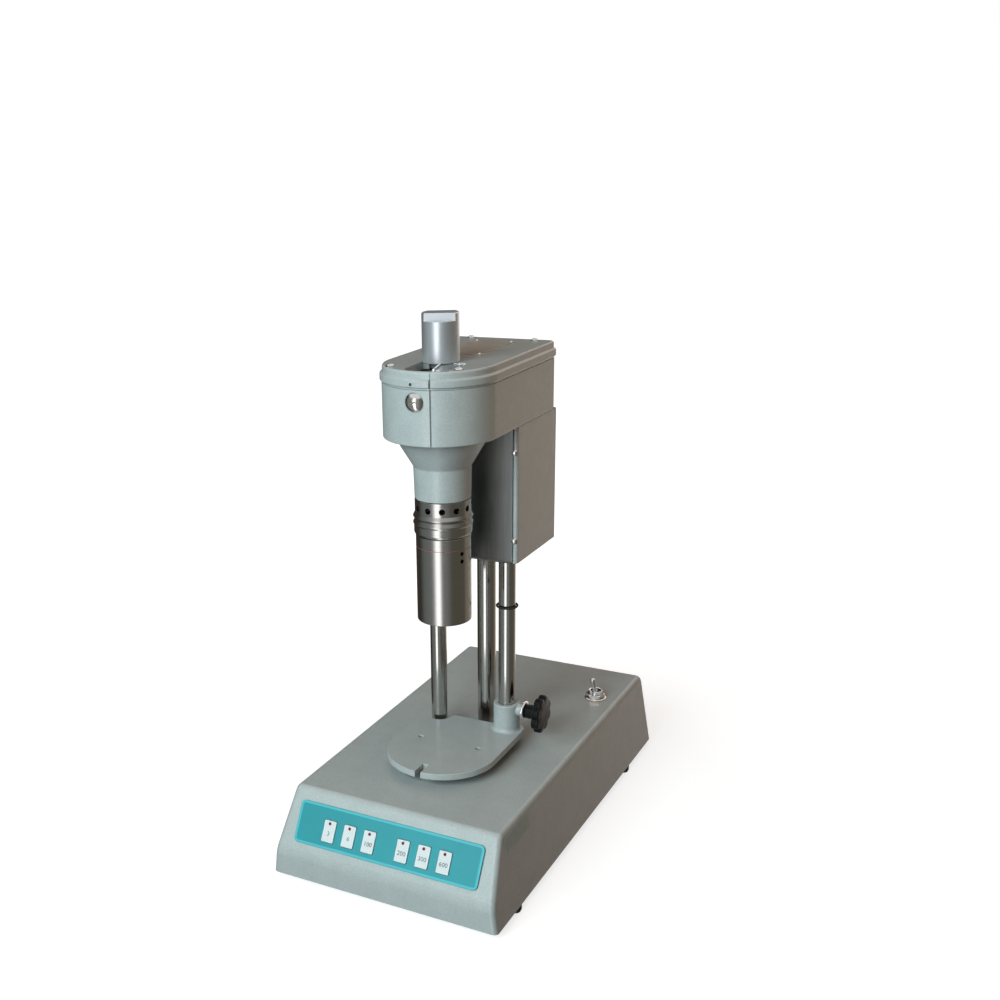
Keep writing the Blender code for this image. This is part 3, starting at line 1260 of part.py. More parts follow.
def make_rotor():
    axis = empty("rotor_axis", (0, AXIS_Y, 0))
    thread = HUB_RADIUS + SLIDE
    thread_low = ROTOR_NECK_TOP - ROTOR_THREAD_DEPTH
    sleeve = turned("rotor_sleeve", [
        (thread, ROTOR_NECK_TOP),
        (ROTOR_NECK_RADIUS, ROTOR_NECK_TOP),
        (ROTOR_NECK_RADIUS, ROTOR_SHOULDER),
        (ROTOR_RADIUS - ROTOR_TOP_EDGE, ROTOR_SHOULDER),
        (ROTOR_RADIUS, ROTOR_SHOULDER - ROTOR_TOP_EDGE),
        (ROTOR_RADIUS, ROTOR_BOTTOM + ROTOR_LOW_EDGE),
        (ROTOR_RADIUS - ROTOR_LOW_EDGE, ROTOR_BOTTOM),
        (ROTOR_BORE, ROTOR_BOTTOM),
        (ROTOR_BORE, thread_low),
        (thread, thread_low),
    ], "ground_steel", axis, steps=32, closed=True)
    for row, rise in enumerate(ROTOR_HOLE_RISES):
        for i in range(3):
            angle = ROTOR_HOLE_TURN + 2 * math.pi * i / 3
            reach = (ROTOR_BORE - ROTOR_HOLE_RADIUS, ROTOR_RADIUS + ROTOR_HOLE_RADIUS)
            drill = rod(f"rotor_drill_{row}_{i}", ROTOR_HOLE_RADIUS, *reach, (0, ROTOR_BOTTOM + rise), parent=axis,
                        steps=8, axis="X")
            drill.rotation_euler = (0, 0, angle - math.pi / 2)
            cut(sleeve, drill)

    hub_top = ROTOR_NECK_TOP - SEAT
    collar_top = LOWER_BEARING_BOTTOM - SEAT
    collar_low = collar_top - SPINDLE_COLLAR_LENGTH
    nest = SMALL_BEARING_RADIUS + SLIDE
    nest_top = HUB_BOTTOM + SMALL_BEARING_WIDTH + SEAT
    turned("rotor_spindle", [
        (SPINDLE_BORE, SPINDLE_TOP),
        (SPINDLE_RADIUS, SPINDLE_TOP),
        (SPINDLE_RADIUS, collar_top),
        (SPINDLE_COLLAR_RADIUS, collar_top),
        (SPINDLE_COLLAR_RADIUS, collar_low),
        (SPINDLE_COLLAR_RADIUS, hub_top + HUB_SHOULDER),
        (HUB_RADIUS, hub_top),
        (HUB_RADIUS, HUB_BOTTOM),
        (nest, HUB_BOTTOM),
        (nest, nest_top),
        (SPINDLE_BORE, nest_top),
    ], "ground_steel", axis, closed=True)

    for label, low in (("lower", LOWER_BEARING_BOTTOM), ("upper", UPPER_BEARING_BOTTOM)):
        bearing_ring(f"{label}_bearing", SPINDLE_RADIUS + SLIDE, BEARING_RADIUS, low, low + BEARING_WIDTH)
    small_low = HUB_BOTTOM
    bearing_ring("bob_bearing_lower", SHAFT_RADIUS + SLIDE, SMALL_BEARING_RADIUS, small_low,
                 small_low + SMALL_BEARING_WIDTH)
    bearing_ring("bob_bearing_upper", SHAFT_RADIUS + SLIDE, SMALL_BEARING_RADIUS, BRIDGE_HEIGHT,
                 BRIDGE_HEIGHT + SMALL_BEARING_WIDTH)


def bearing_ring(name, bore, radius, low, high):
    """A sealed ball bearing, drawn as one ring."""
    section = [(bore, high), (radius, high), (radius, low), (bore, low)]
    return turned(name, section, "bright_plate", steps=SMALL_STEPS, closed=True, location=(0, AXIS_Y, 0))


def make_bob():
    axis = empty("bob_axis", (0, AXIS_Y, 0))
    bob_top = BOB_BOTTOM + BOB_LENGTH
    taper_top = bob_top + BOB_TAPER
    turned("bob", [
        (0, taper_top),
        (BOB_NECK_RADIUS, taper_top),
        (BOB_RADIUS, bob_top),
        (BOB_RADIUS, BOB_BOTTOM),
        (BOB_RADIUS - BOB_RIM, BOB_BOTTOM),
        (BOB_RADIUS - BOB_RIM - BOB_DISH, BOB_BOTTOM + BOB_DISH),
        (0, BOB_BOTTOM + BOB_DISH),
    ], "ground_steel", axis)
    turned("bob_shaft", [
        (0, SHAFT_TOP),
        (SHAFT_RADIUS, SHAFT_TOP),
        (SHAFT_RADIUS, SPRING_COLLAR_TOP),
        (SPRING_COLLAR_RADIUS, SPRING_COLLAR_TOP),
        (SPRING_COLLAR_RADIUS, SPRING_COLLAR_BOTTOM),
        (SHAFT_RADIUS, SPRING_COLLAR_BOTTOM),
        (SHAFT_RADIUS, taper_top + SEAT),
        (0, taper_top + SEAT),
    ], "ground_steel", axis, steps=SMALL_STEPS)
    bore = SHAFT_RADIUS + SLIDE
    disc_low = DIAL_TOP - DIAL_THICKNESS
    turned("dial_disc", [
        (bore, DIAL_TOP),
        (DIAL_RADIUS, DIAL_TOP),
        (DIAL_RADIUS, disc_low),
        (DIAL_HUB_RADIUS, disc_low),
        (DIAL_HUB_RADIUS, disc_low - DIAL_HUB_HEIGHT),
        (bore, disc_low - DIAL_HUB_HEIGHT),
    ], "dial_enamel", axis, closed=True)


def make_spring():
    """The torsion spring stands on the shaft's collar and ends under the arbor in the cap."""
    arbor_top = CAP_CEILING - SEAT
    arbor_low = arbor_top - ARBOR_THICKNESS
    turned("spring_arbor", [
        (0, arbor_top),
        (CAP_RADIUS - CAP_WALL - SLIDE, arbor_top),
        (CAP_RADIUS - CAP_WALL - SLIDE, arbor_low),
        (ARBOR_STEM_RADIUS, arbor_low),
        (ARBOR_STEM_RADIUS, arbor_low - ARBOR_STEM_LENGTH),
        (0, arbor_low - ARBOR_STEM_LENGTH),
    ], "brass", steps=24, location=(0, AXIS_Y, 0))
    low = SPRING_COLLAR_TOP + SEAT + SPRING_WIRE
    high = arbor_low - SEAT - SPRING_WIRE
    curve = bpy.data.curves.new("torsion_spring", "CURVE")
    curve.dimensions = "3D"
    curve.bevel_depth = SPRING_WIRE
    curve.bevel_resolution = 0
    curve.use_fill_caps = True
    spline = curve.splines.new("POLY")
    count = SPRING_TURNS * SPRING_STEPS
    spline.points.add(count)
    for i, point in enumerate(spline.points):
        angle = 2 * math.pi * i / SPRING_STEPS
        share = i / count
        point.co = (SPRING_RADIUS * math.cos(angle), SPRING_RADIUS * math.sin(angle), low + (high - low) * share, 1)
    spring = bpy.data.objects.new("torsion_spring", curve)
    PIECES.objects.link(spring)
    spring.location = (0, AXIS_Y, 0)
    dressed(spring, "bright_plate")


# Gear train


def involute(angle):
    return math.tan(angle) - angle


def gear_outline(teeth, tooth_at):
    """A spur gear whose flanks meet the involute at root and tip, with one tooth centred on tooth_at, in radians."""
    pitch = GEAR_MODULE * teeth / 2
    base = pitch * math.cos(PRESSURE_ANGLE)
    tip = pitch + ADDENDUM * GEAR_MODULE
    root = pitch - DEDENDUM * GEAR_MODULE
    half_at_pitch = math.pi / (2 * teeth) - BACKLASH / (2 * pitch)

    def half_width(radius):
        reach = math.acos(min(1.0, base / max(radius, base)))
        return half_at_pitch + involute(PRESSURE_ANGLE) - involute(reach)

    flank = [(radius, half_width(radius)) for radius in (root, tip)]
    points = []
    for tooth in range(teeth):
        middle = tooth_at + 2 * math.pi * tooth / teeth
        points += [(radius, middle - half) for radius, half in flank]
        points += [(radius, middle + half) for radius, half in reversed(flank)]
    return [(radius * math.cos(angle), radius * math.sin(angle)) for radius, angle in points]


def idler_pin_radius():
    return IDLER_BORE - SLIDE


def make_gears():
    north = math.pi / 2
    spindle_axis = empty("spindle_gear_axis", (0, AXIS_Y, 0))
    gap_north = north + math.pi / SPINDLE_TEETH
    loops = [gear_outline(SPINDLE_TEETH, gap_north), circle(0, 0, SPINDLE_RADIUS + SLIDE, ROUND_STEPS)]
    flat("spindle_gear", loops, GEAR_BOTTOM, GEAR_TOP, "brass", spindle_axis)

    idler_axis = empty("idler_axis", (0, IDLER_Y, 0))
    loops = [gear_outline(IDLER_TEETH, north), circle(0, 0, IDLER_BORE, SMALL_STEPS)]
    for i in range(IDLER_HOLES):
        angle = 2 * math.pi * i / IDLER_HOLES
        centre = (IDLER_HOLE_RING * math.cos(angle), IDLER_HOLE_RING * math.sin(angle))
        loops.append(circle(*centre, IDLER_HOLE_RADIUS, 8))
    flat("idler_gear", loops, GEAR_BOTTOM, GEAR_TOP, "brass", idler_axis)

    pin = idler_pin_radius()
    pin_foot = FLOOR_TOP - HEAD_FLOOR / 2 + SEAT
    clip_low = GEAR_TOP + SEAT
    shelf = GEAR_BOTTOM - SEAT
    turned("idler_pin", [
        (0, clip_low + IDLER_CLIP_THICKNESS),
        (pin + IDLER_CLIP_WIDTH, clip_low + IDLER_CLIP_THICKNESS),
        (pin + IDLER_CLIP_WIDTH, clip_low),
        (pin, clip_low),
        (pin, shelf),
        (pin + IDLER_SHELF_WIDTH, shelf),
        (pin + IDLER_SHELF_WIDTH, FLOOR_TOP + SEAT),
        (pin, FLOOR_TOP + SEAT),
        (pin, pin_foot),
        (0, pin_foot),
    ], "bright_plate", idler_axis, steps=SMALL_STEPS)

    pinion_axis = empty("pinion_axis", (0, PINION_Y, 0))
    gap_south = -north + math.pi / PINION_TEETH
    pinion = flat("motor_pinion", [gear_outline(PINION_TEETH, gap_south)], GEAR_BOTTOM, GEAR_TOP, "brass",
                  pinion_axis)
    shaft_low = HEAD_BOTTOM + MOTOR_BOSS_RISE + SEAT
    shaft_top = GEAR_TOP + MOTOR_SHAFT_PROUD
    join(pinion, rod("pinion_shaft", MOTOR_SHAFT_RADIUS, shaft_low, shaft_top, parent=pinion_axis))

    motor_top = HEAD_BOTTOM - SEAT
    motor_low = motor_top - MOTOR_LENGTH
    waist = motor_top - GEARHEAD_LENGTH
    motor = turned("motor", [
        (0, motor_top),
        (MOTOR_RADIUS, motor_top),
        (MOTOR_RADIUS, waist),
        (MOTOR_CAN_RADIUS, waist),
        (MOTOR_CAN_RADIUS, motor_low + MOTOR_EDGE),
        (MOTOR_CAN_RADIUS - MOTOR_EDGE, motor_low),
        (0, motor_low),
    ], "bright_plate", location=(0, MOTOR_Y, 0))
    boss_top = HEAD_BOTTOM + MOTOR_BOSS_RISE
    join(motor, rod("motor_boss", MOTOR_BOSS_RADIUS, motor_top - SHEET, boss_top, (0, PINION_Y)))


def make_bridge():
    """The bridge over the gears that carries the bob shaft's upper bearing."""
    centre = empty("bridge_datum", (0, AXIS_Y, 0))
    half = BRIDGE_WIDTH / 2
    outline = rounded_rectangle(-BRIDGE_HALF_LENGTH, -half, BRIDGE_HALF_LENGTH, half, BRIDGE_POST_RADIUS)
    hole = circle(0, 0, SMALL_BEARING_RADIUS + SLIDE, SMALL_STEPS)
    top = BRIDGE_HEIGHT + BRIDGE_THICKNESS
    bridge = flat("bearing_bridge", [outline, hole], BRIDGE_HEIGHT, top, "satin_aluminium", centre)
    for side in (-1, 1):
        place = (side * (BRIDGE_HALF_LENGTH - BRIDGE_POST_RADIUS - SEAT), 0)
        post_top = BRIDGE_HEIGHT + BRIDGE_THICKNESS / 2
        join(bridge, rod(f"bridge_post_{side}", BRIDGE_POST_RADIUS, FLOOR_TOP + SEAT, post_top, place, parent=centre,
                         steps=16))


# Motor box


def make_motor_box():
    top = HEAD_BOTTOM - SEAT
    right, front, rear = BOX_HALF_WIDTH, BOX_FRONT, BOX_REAR
    lip = right - BOX_FLANGE
    corners = [(lip, front), (right, front), (right, rear), (-right, rear), (-right, front), (-lip, front)]
    path = [corners[0]]
    for i in range(1, len(corners) - 1):
        radius = BOX_CORNER if corners[i][1] == rear else BOX_FRONT_CORNER
        path += fillet(corners[i], corners[i - 1], corners[i + 1], radius, 3)
    path.append(corners[-1])
    smoothed(sheet_from_path("motor_cover", path, BOX_BOTTOM, top, BOX_SHEET, "hammered_paint"), 25)

    half = lip - SEAT
    end = rear - BOX_SHEET - SEAT
    legs = [(top, front), (BOX_BOTTOM, front), (BOX_BOTTOM, end)]
    path = [legs[0], *fillet(legs[1], legs[0], legs[2], BOX_FRONT_CORNER, 3), legs[2]]
    panel = sheet_from_path("motor_panel", path, -half, half, BOX_SHEET, "brushed_steel")
    lay_across = Matrix(((0, 0, 1, 0), (0, 1, 0, 0), (1, 0, 0, 0), (0, 0, 0, 1)))
    turn_mesh(panel, lay_across)
    for label, x, y, radius in columns():
        name = f"panel_hole_{label}"
        low, high = BOX_BOTTOM - BOX_SHEET, BOX_BOTTOM + 2 * BOX_SHEET
        cut(panel, rod(name, radius + SLIDE, low, high, (x, y), steps=ROUND_STEPS))


def main():
    slope = slope_datum()
    rear = rear_datum()
    make_base_case(slope, rear)
    make_rear_panel(rear)
    make_base_plate()
    make_feet()
    make_keypad(slope)
    make_toggle()
    make_rear_fittings(rear)
    make_electrics()
    make_columns()
    make_stage()
    make_clamp()
    make_head_body()
    make_lid()
    make_cap()
    make_front_screw()
    make_guard()
    make_rotor()
    make_bob()
    make_spring()
    make_gears()
    make_bridge()
    make_motor_box()


main()
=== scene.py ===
"""The looks of the rotational viscometer: fine meshes, finishes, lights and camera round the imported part."""
import math

import bmesh
import bpy
from mathutils import Matrix, Vector


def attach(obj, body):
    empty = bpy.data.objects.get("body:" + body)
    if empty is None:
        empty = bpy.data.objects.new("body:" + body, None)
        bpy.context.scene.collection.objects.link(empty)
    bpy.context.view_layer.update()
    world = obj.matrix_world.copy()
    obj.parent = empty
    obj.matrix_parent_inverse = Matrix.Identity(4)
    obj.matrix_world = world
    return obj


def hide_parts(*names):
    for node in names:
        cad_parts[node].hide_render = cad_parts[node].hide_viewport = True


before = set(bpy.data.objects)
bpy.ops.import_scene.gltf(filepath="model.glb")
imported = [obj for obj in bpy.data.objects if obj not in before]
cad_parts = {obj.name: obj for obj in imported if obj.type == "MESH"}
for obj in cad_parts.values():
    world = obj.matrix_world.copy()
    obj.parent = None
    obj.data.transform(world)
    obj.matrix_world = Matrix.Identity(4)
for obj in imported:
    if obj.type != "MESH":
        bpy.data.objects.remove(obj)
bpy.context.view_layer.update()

# Lengths in metres, most of them the part's own, and a few angles in degrees
SEAT = 0.0003
SLIDE = 0.0003
ROUND = 128
SMALL_ROUND = 48

FOOT_HEIGHT = 0.006
BASE_BOTTOM_WIDTH = 0.1878
BASE_TOP_WIDTH = 0.1710
BASE_FRONT = -0.17235
BASE_REAR = 0.17235
TOP_FRONT = -0.14643
TOP_REAR = 0.16476
BEND_HEIGHT = 0.0262
BASE_HEIGHT = 0.0708
SHEET = 0.0020
BEND_RADIUS = 0.020
TOP_EDGE_RADIUS = 0.006
SIDE_EDGE_ROUND = 0.004
FOOT_RADIUS = 0.0052
FOOT_TREAD = 0.0044
FOOT_RECESS_RADIUS = 0.0026
FOOT_RECESS_DEPTH = 0.0022
FOOT_SCREW = (0.0022, 0.0010)
FOOT_PLACES = {
    "front_left": (-0.0887, -0.1290),
    "front_right": (0.0887, -0.1290),
    "rear_left": (-0.0887, 0.1110),
    "rear_right": (0.0887, 0.1110),
}
SLOPE_ANGLE = math.atan2(BASE_HEIGHT - BEND_HEIGHT, TOP_FRONT - BASE_FRONT)
REAR_LEAN = math.atan2(BASE_REAR - TOP_REAR, BASE_HEIGHT - FOOT_HEIGHT)

PANEL = (0.1530, 0.0324, 0.0010)
PANEL_CORNER = 0.0040
KEY_SIZE = (0.0100, 0.0163)
KEY_PROUD = 0.0006
KEY_RISE = -0.0026
KEY_CORNER = 0.0007
KEY_LIP = 0.0012
KEY_LIP_THICKNESS = 0.0010
KEY_LAMP_RADIUS = 0.0012
KEY_LAMP_PLACE = (-0.0003, 0.0058)
KEY_NUMBER_SIZE = 0.0046
KEY_NUMBER_RISE = -0.0018
BORDER_INSET = 0.0003
BORDER_WIDTH = 0.0017
INK = 0.00006
KEY_PLACES = {"3": -0.0480, "6": -0.0310, "100": -0.0140, "200": 0.0140, "300": 0.0310, "600": 0.0480}

TOGGLE = (0.0652, 0.1003)
BUSH_RADIUS = 0.00585
BUSH_RISE = 0.0075
BUSH_BORE = 0.0043
WASHER_RADIUS = 0.0092
WASHER_THICKNESS = 0.0010
NUT_FLATS = 0.0140
NUT_THICKNESS = 0.0030
NUT_TURN = math.radians(12)
THREAD_PITCH = 0.00075
THREAD_TURNS = 8
SWITCH_BODY = (0.0260, 0.0130, 0.0180)
LEVER_PIVOT = BASE_HEIGHT + 0.0015
LEVER_LENGTH = 0.0165
LEVER_BALL = 0.0037
LEVER_ROOT = 0.0016
LEVER_TIP = 0.0023
LEVER_THROW = math.radians(12)

INLET_X = -0.0450
FUSE_X = -0.0050
REAR_FITTING_RISE = 0.0340
REAR_PANEL_HALF_WIDTH = 0.0740
REAR_PANEL_RISE = 0.0180
REAR_PANEL_DROP = 0.0260
REAR_PANEL_CORNER = 0.0030
REAR_SCREW = (0.0024, 0.0013)
REAR_SCREW_PLACES = ((-0.0700, -0.0225), (0.0700, -0.0225), (-0.0700, 0.0145), (0.0700, 0.0145))
INLET_WINDOW = (0.0270, 0.0198)
INLET_PROUD = 0.0020
INLET_FLANGE = (0.0480, 0.0225)
INLET_FLANGE_CORNER = 0.0045
INLET_BODY = (0.0264, 0.0192, 0.0211)
INLET_DEPTH = 0.0220
INLET_SCREW_X = 0.0200
INLET_SCREW = (0.0028, 0.0009)
SOCKET_HALF = (0.0120, 0.0082)
SOCKET_CUT = (0.0040, 0.0042)
SOCKET_DEPTH = 0.0170
BLADE_SIZE = (0.0020, 0.0040, 0.0120)
BLADE_PLACES = ((-0.0070, -0.0020), (0.0070, -0.0020), (0, 0.0020))
FUSE_HOLE_RADIUS = 0.0063
FUSE_BODY_RADIUS = 0.0060
FUSE_FACE_RADIUS = 0.0062
FUSE_RIM_RADIUS = 0.0078
FUSE_RIM = 0.0012
FUSE_PROUD = 0.0026
FUSE_DEPTH = 0.0250
FUSE_SLOT = (0.0014, 0.0100, 0.0020)

STICKER_HALF = (0.0208, 0.0058)
STICKER_THICKNESS = 0.00035
STICKER_PLACE = (-0.1215, 0.0601)
NAME_PLATE = (-0.0165, -0.0260, 0.0155, 0.0350)
NAME_PLATE_THICKNESS = 0.0006
RIVET_PLACES = ((-0.0148, -0.0242), (0.0138, -0.0242), (-0.0148, 0.0332), (0.0138, 0.0332))
RIVET = (0.0011, 0.0007)

COLUMN_X = 0.03015
COLUMN_Y = -0.01017
COLUMN_RADIUS = 0.0067
REAR_COLUMN_Y = 0.01762
REAR_COLUMN_RADIUS = 0.0076
COLUMNS = {
    "left": (-COLUMN_X, COLUMN_Y, COLUMN_RADIUS),
    "right": (COLUMN_X, COLUMN_Y, COLUMN_RADIUS),
    "rear": (0.0, REAR_COLUMN_Y, REAR_COLUMN_RADIUS),
}
COLUMN_FOOT = 0.0688
COLUMN_TOP = 0.3323
COLUMN_STUD_RADIUS = 0.0050
COLUMN_STUD_LOW = 0.0485
STOP_RING_HEIGHT = 0.1888
STOP_RING_WIRE = 0.0009

STAGE_TOP = 0.08325
STAGE_THICKNESS = 0.0052
STAGE_HALF_WIDTH = 0.0440
STAGE_ROUND_Y = -0.0650
STAGE_REAR = -0.0068
STAGE_TAIL_X = -0.0192
NOTCH_RADIUS = 0.0105
NOTCH_LEAD = 18
NOTCH_END = -115
STAGE_SLOT_WIDTH = 0.0046
STAGE_SLOT_END = -0.0950
PEG_PLACES = ((-0.0251, -0.0541), (0.0251, -0.0541))
PEG_HOLE_RADIUS = 0.0021
BOSS_RADIUS = 0.0105
BOSS_TOP = 0.1062
BOSS_FLARE = 0.0030
CLAMP_HEIGHT = 0.1013
CLAMP_PAD_RADIUS = 0.0049
CLAMP_PAD_END = 0.0442
CLAMP_SCREW_RADIUS = 0.0029
CLAMP_WASHER_RADIUS = 0.0080
CLAMP_WASHER_THICKNESS = 0.0028
KNOB_SHANK_RADIUS = 0.0056
KNOB_SHANK_LENGTH = 0.0086
KNOB_RADIUS = 0.0150
KNOB_THICKNESS = 0.0065
KNOB_LOBES = 8
KNOB_LOBE_DEPTH = 0.0022
KNOB_EDGE = 0.0014
KNOB_CROWN = 0.0004
KNOB_HUB_FLARE = 0.0008
KNOB_BORE_DEPTH = 0.0032

AXIS_Y = -0.0588
HEAD_RADIUS = 0.0426
HEAD_REAR = 0.0545
HEAD_REAR_CORNER = 0.0060
HEAD_BOTTOM = 0.3326
HEAD_TOP = 0.3724
HEAD_WALL = 0.0040
HEAD_FLOOR = 0.0070
HEAD_EDGE = 0.0010
CONE_TOP_RADIUS = 0.0346
CONE_BOTTOM = 0.3103
NECK_TOP_RADIUS = 0.0214
NECK_BOTTOM_RADIUS = 0.0208
NECK_BOTTOM = 0.2864
SPIGOT_RADIUS = 0.0176
SPIGOT_LENGTH = 0.0034
HEAD_BORE_RADIUS = 0.0143
SEAM_X = 0.0120
SEAM_WIDTH = 0.0015
SEAM_DEPTH = 0.0012
LID_BOTTOM = HEAD_TOP + SEAT
LID_TOP = 0.3852
LID_PLATE = 0.0056
LID_BEAD = 0.0013
LID_SHOULDER = 0.0005
WELL_LEFT = -0.0125
WELL_RIGHT = 0.0195
WELL_REAR = -0.0600
WELL_RIM = 0.0032
WELL_CORNER = 0.0100
WINDOW_THICKNESS = 0.0020
WINDOW_EDGE_FRONT = 0.0110
WINDOW_EDGE_REAR = 0.0040
WINDOW_LEDGE = 0.0025
WINDOW_BAR_ENDS = ((WINDOW_EDGE_FRONT + 0.0004, -0.0935), (WINDOW_EDGE_REAR + 0.0006, -0.0655))
WINDOW_BAR_SECTION = (0.0016, 0.0014)
CAP_HOLE_RADIUS = 0.0090
CAP_RADIUS = 0.01336
CAP_TOP = 0.4200
CAP_WALL = 0.0015
CAP_CROWN = 0.0072
CAP_FLATS = 0.0150
CAP_FLAT_HEIGHT = 0.0056
CAP_TURN = math.radians(22)
FRONT_SCREW_HEIGHT = 0.3638
FRONT_SCREW = (0.0070, 0.0036)
FRONT_SHANK_RADIUS = 0.0028
FRONT_SHANK_LENGTH = 0.0043
SIGHT_HOLE = (-0.0018, 0.3764)
SIGHT_HOLE_RADIUS = 0.0012
LID_SCREW_RISE = 0.0017
LID_SCREWS = {
    "front_left": (-0.0262, -0.0860, 0.0030),
    "front_right": (0.0262, -0.0850, 0.0030),
    "rear_left": (-0.0265, 0.0485, 0.0028),
    "rear_right": (0.0270, 0.0485, 0.0028),
}

GUARD_BAND_RADIUS = 0.0209
GUARD_RIB_RADIUS = 0.0223
GUARD_LOWER_RADIUS = 0.0217
GUARD_BORE = 0.0194
GUARD_TOP = NECK_BOTTOM - SEAT
GUARD_HEIGHT = 0.0271
GUARD_BAND_HEIGHT = 0.0104
GUARD_GROOVE_DEPTH = 0.0013
GUARD_HOLES = 12
GUARD_HOLE_RADIUS = 0.0023
GUARD_HOLE_DROP = 0.0062
GUARD_HOLE_TURN = math.radians(-6)
ROTOR_BOTTOM = 0.1912
ROTOR_RADIUS = 0.02055
ROTOR_BORE = 0.018415
ROTOR_SHOULDER = 0.2584
ROTOR_NECK_RADIUS = 0.0188
ROTOR_NECK_TOP = 0.2720
ROTOR_THREAD_DEPTH = 0.0150
ROTOR_HOLE_RADIUS = 0.00159
ROTOR_HOLE_RISES = (0.0553, 0.0495)
ROTOR_HOLE_TURN = math.radians(67)
ROTOR_LINE_RISE = 0.0584
ROTOR_LINE_HALF = 0.00018
HUB_RADIUS = 0.0158
BOB_RADIUS = 0.017245
BOB_LENGTH = 0.0380
BOB_BOTTOM = 0.1992
BOB_TAPER = 0.0090
BOB_NECK_RADIUS = 0.0040
SHAFT_RADIUS = 0.0030
DIAL_RADIUS = 0.0350
DIAL_TOP = 0.3775
DIAL_THICKNESS = 0.0016
DIAL_HUB_RADIUS = 0.0065
DIAL_HUB_HEIGHT = 0.0060
DIAL_SPAN = 300
DIAL_FIRST_TURN = 210
DIAL_MARKS = {10: (0.00022, 0.0042), 5: (0.00013, 0.0030), 1: (0.00013, 0.0020)}
DIAL_MARK_INSET = 0.0008
DIAL_INK = 0.00008
DIAL_NUMBER_STEP = 20
DIAL_NUMBER_SIZE = 0.0030
DIAL_NUMBER_INSET = 0.0072

BOX_HALF_WIDTH = 0.0419
BOX_FRONT = -0.0184
BOX_REAR = 0.0592
BOX_BOTTOM = 0.2268
BOX_TOP = HEAD_BOTTOM - SEAT
BOX_SHEET = 0.0012
BOX_FLANGE = 0.0034
BOX_CORNER = 0.0030
BOX_SCREWS = {"front": (0.0388, (0.0028, 0.0016), 40), "rear": (0.0380, (0.0028, 0.0015), 70)}
BOX_SCREW_LEVELS = {"upper": 0.3130, "lower": 0.2446}


# Geometry


def object_of(name, bm):
    bmesh.ops.recalc_face_normals(bm, faces=bm.faces)
    mesh = bpy.data.meshes.new(name)
    bm.to_mesh(mesh)
    bm.free()
    obj = bpy.data.objects.new(name, mesh)
    bpy.context.scene.collection.objects.link(obj)
    return obj


def quads(bm, first, second):
    """Faces between two rings of vertices; a ring of one vertex is a point."""
    count = max(len(first), len(second))
    for i in range(count):
        j = (i + 1) % count
        corners = [ring[k % len(ring)] for ring, k in ((first, i), (first, j), (second, j), (second, i))]
        bm.faces.new(list(dict.fromkeys(corners)))


def fillet(corner, before, after, radius, steps):
    """The arc that rounds the corner of a path, from the leg before it to the leg after it."""
    corner, before, after = Vector(corner), Vector(before), Vector(after)
    into, out = (before - corner).normalized(), (after - corner).normalized()
    half = into.angle(out) / 2
    middle = corner + (into + out).normalized() * (radius / math.sin(half))
    start = corner + into * (radius / math.tan(half))
    end = corner + out * (radius / math.tan(half))
    first = math.atan2(start.y - middle.y, start.x - middle.x)
    sweep = math.atan2(end.y - middle.y, end.x - middle.x) - first
    sweep = (sweep + math.pi) % (2 * math.pi) - math.pi
    angles = [first + sweep * i / steps for i in range(steps + 1)]
    return [(middle.x + radius * math.cos(a), middle.y + radius * math.sin(a)) for a in angles]


def softened(points, steps=6, closed=False):
    """A path of (a, b) or (a, b, radius) points, rounded where a radius is given."""
    path = []
    for i, point in enumerate(points):
        if len(point) == 2 or (not closed and i in (0, len(points) - 1)):
            path.append(tuple(point[:2]))
            continue
        before, after = points[i - 1][:2], points[(i + 1) % len(points)][:2]
        path += fillet(point[:2], before, after, point[2], steps)
    return path


def arc(cx, cy, radius, start, end, steps):
    """Points on an arc, both ends included; angles in degrees."""
    angles = [math.radians(start + (end - start) * i / steps) for i in range(steps + 1)]
    return [(cx + radius * math.cos(a), cy + radius * math.sin(a)) for a in angles]


def circle(cx, cy, radius, steps=SMALL_ROUND):
    return arc(cx, cy, radius, 0, 360 - 360 / steps, steps - 1)


def rounded_rectangle(left, low, right, high, radius, steps=8):
    return (
        arc(right - radius, high - radius, radius, 0, 90, steps)
        + arc(left + radius, high - radius, radius, 90, 180, steps)
        + arc(left + radius, low + radius, radius, 180, 270, steps)
        + arc(right - radius, low + radius, radius, 270, 360, steps)
    )


def shifted(loop, distance):
    """A closed loop drawn in by distance, or out where it is negative."""
    around = list(zip(loop[-1:] + loop[:-1], loop, loop[1:] + loop[:1]))
    area = sum(here[0] * after[1] - after[0] * here[1] for _, here, after in around)
    turn = 1 if area > 0 else -1
    drawn = []
    for before, here, after in around:
        into = (Vector(here) - Vector(before)).normalized()
        out = (Vector(after) - Vector(here)).normalized()
        across = Vector((-into.y, into.x)) * turn
        normal = (Vector((-into.y - out.y, into.x + out.x)) * turn).normalized()
        place = Vector(here) + normal * (distance / max(normal.dot(across), 0.3))
        drawn.append((place.x, place.y))
    return drawn


def quarter_turn(steps):
    """Angles from 0 to 90 degrees, in radians."""
    return [math.pi / 2 * i / steps for i in range(steps + 1)]


def edge_stations(low, high, edge, steps=3):
    """(inset, height) pairs up a slab's side, its two edges rounded."""
    if not edge:
        return [(0.0, low), (0.0, high)]
    turns = quarter_turn(steps)
    lower = [(edge * (1 - math.sin(a)), low + edge * (1 - math.cos(a))) for a in turns]
    upper = [(edge * (1 - math.cos(a)), high - edge * (1 - math.sin(a))) for a in turns]
    return lower + upper


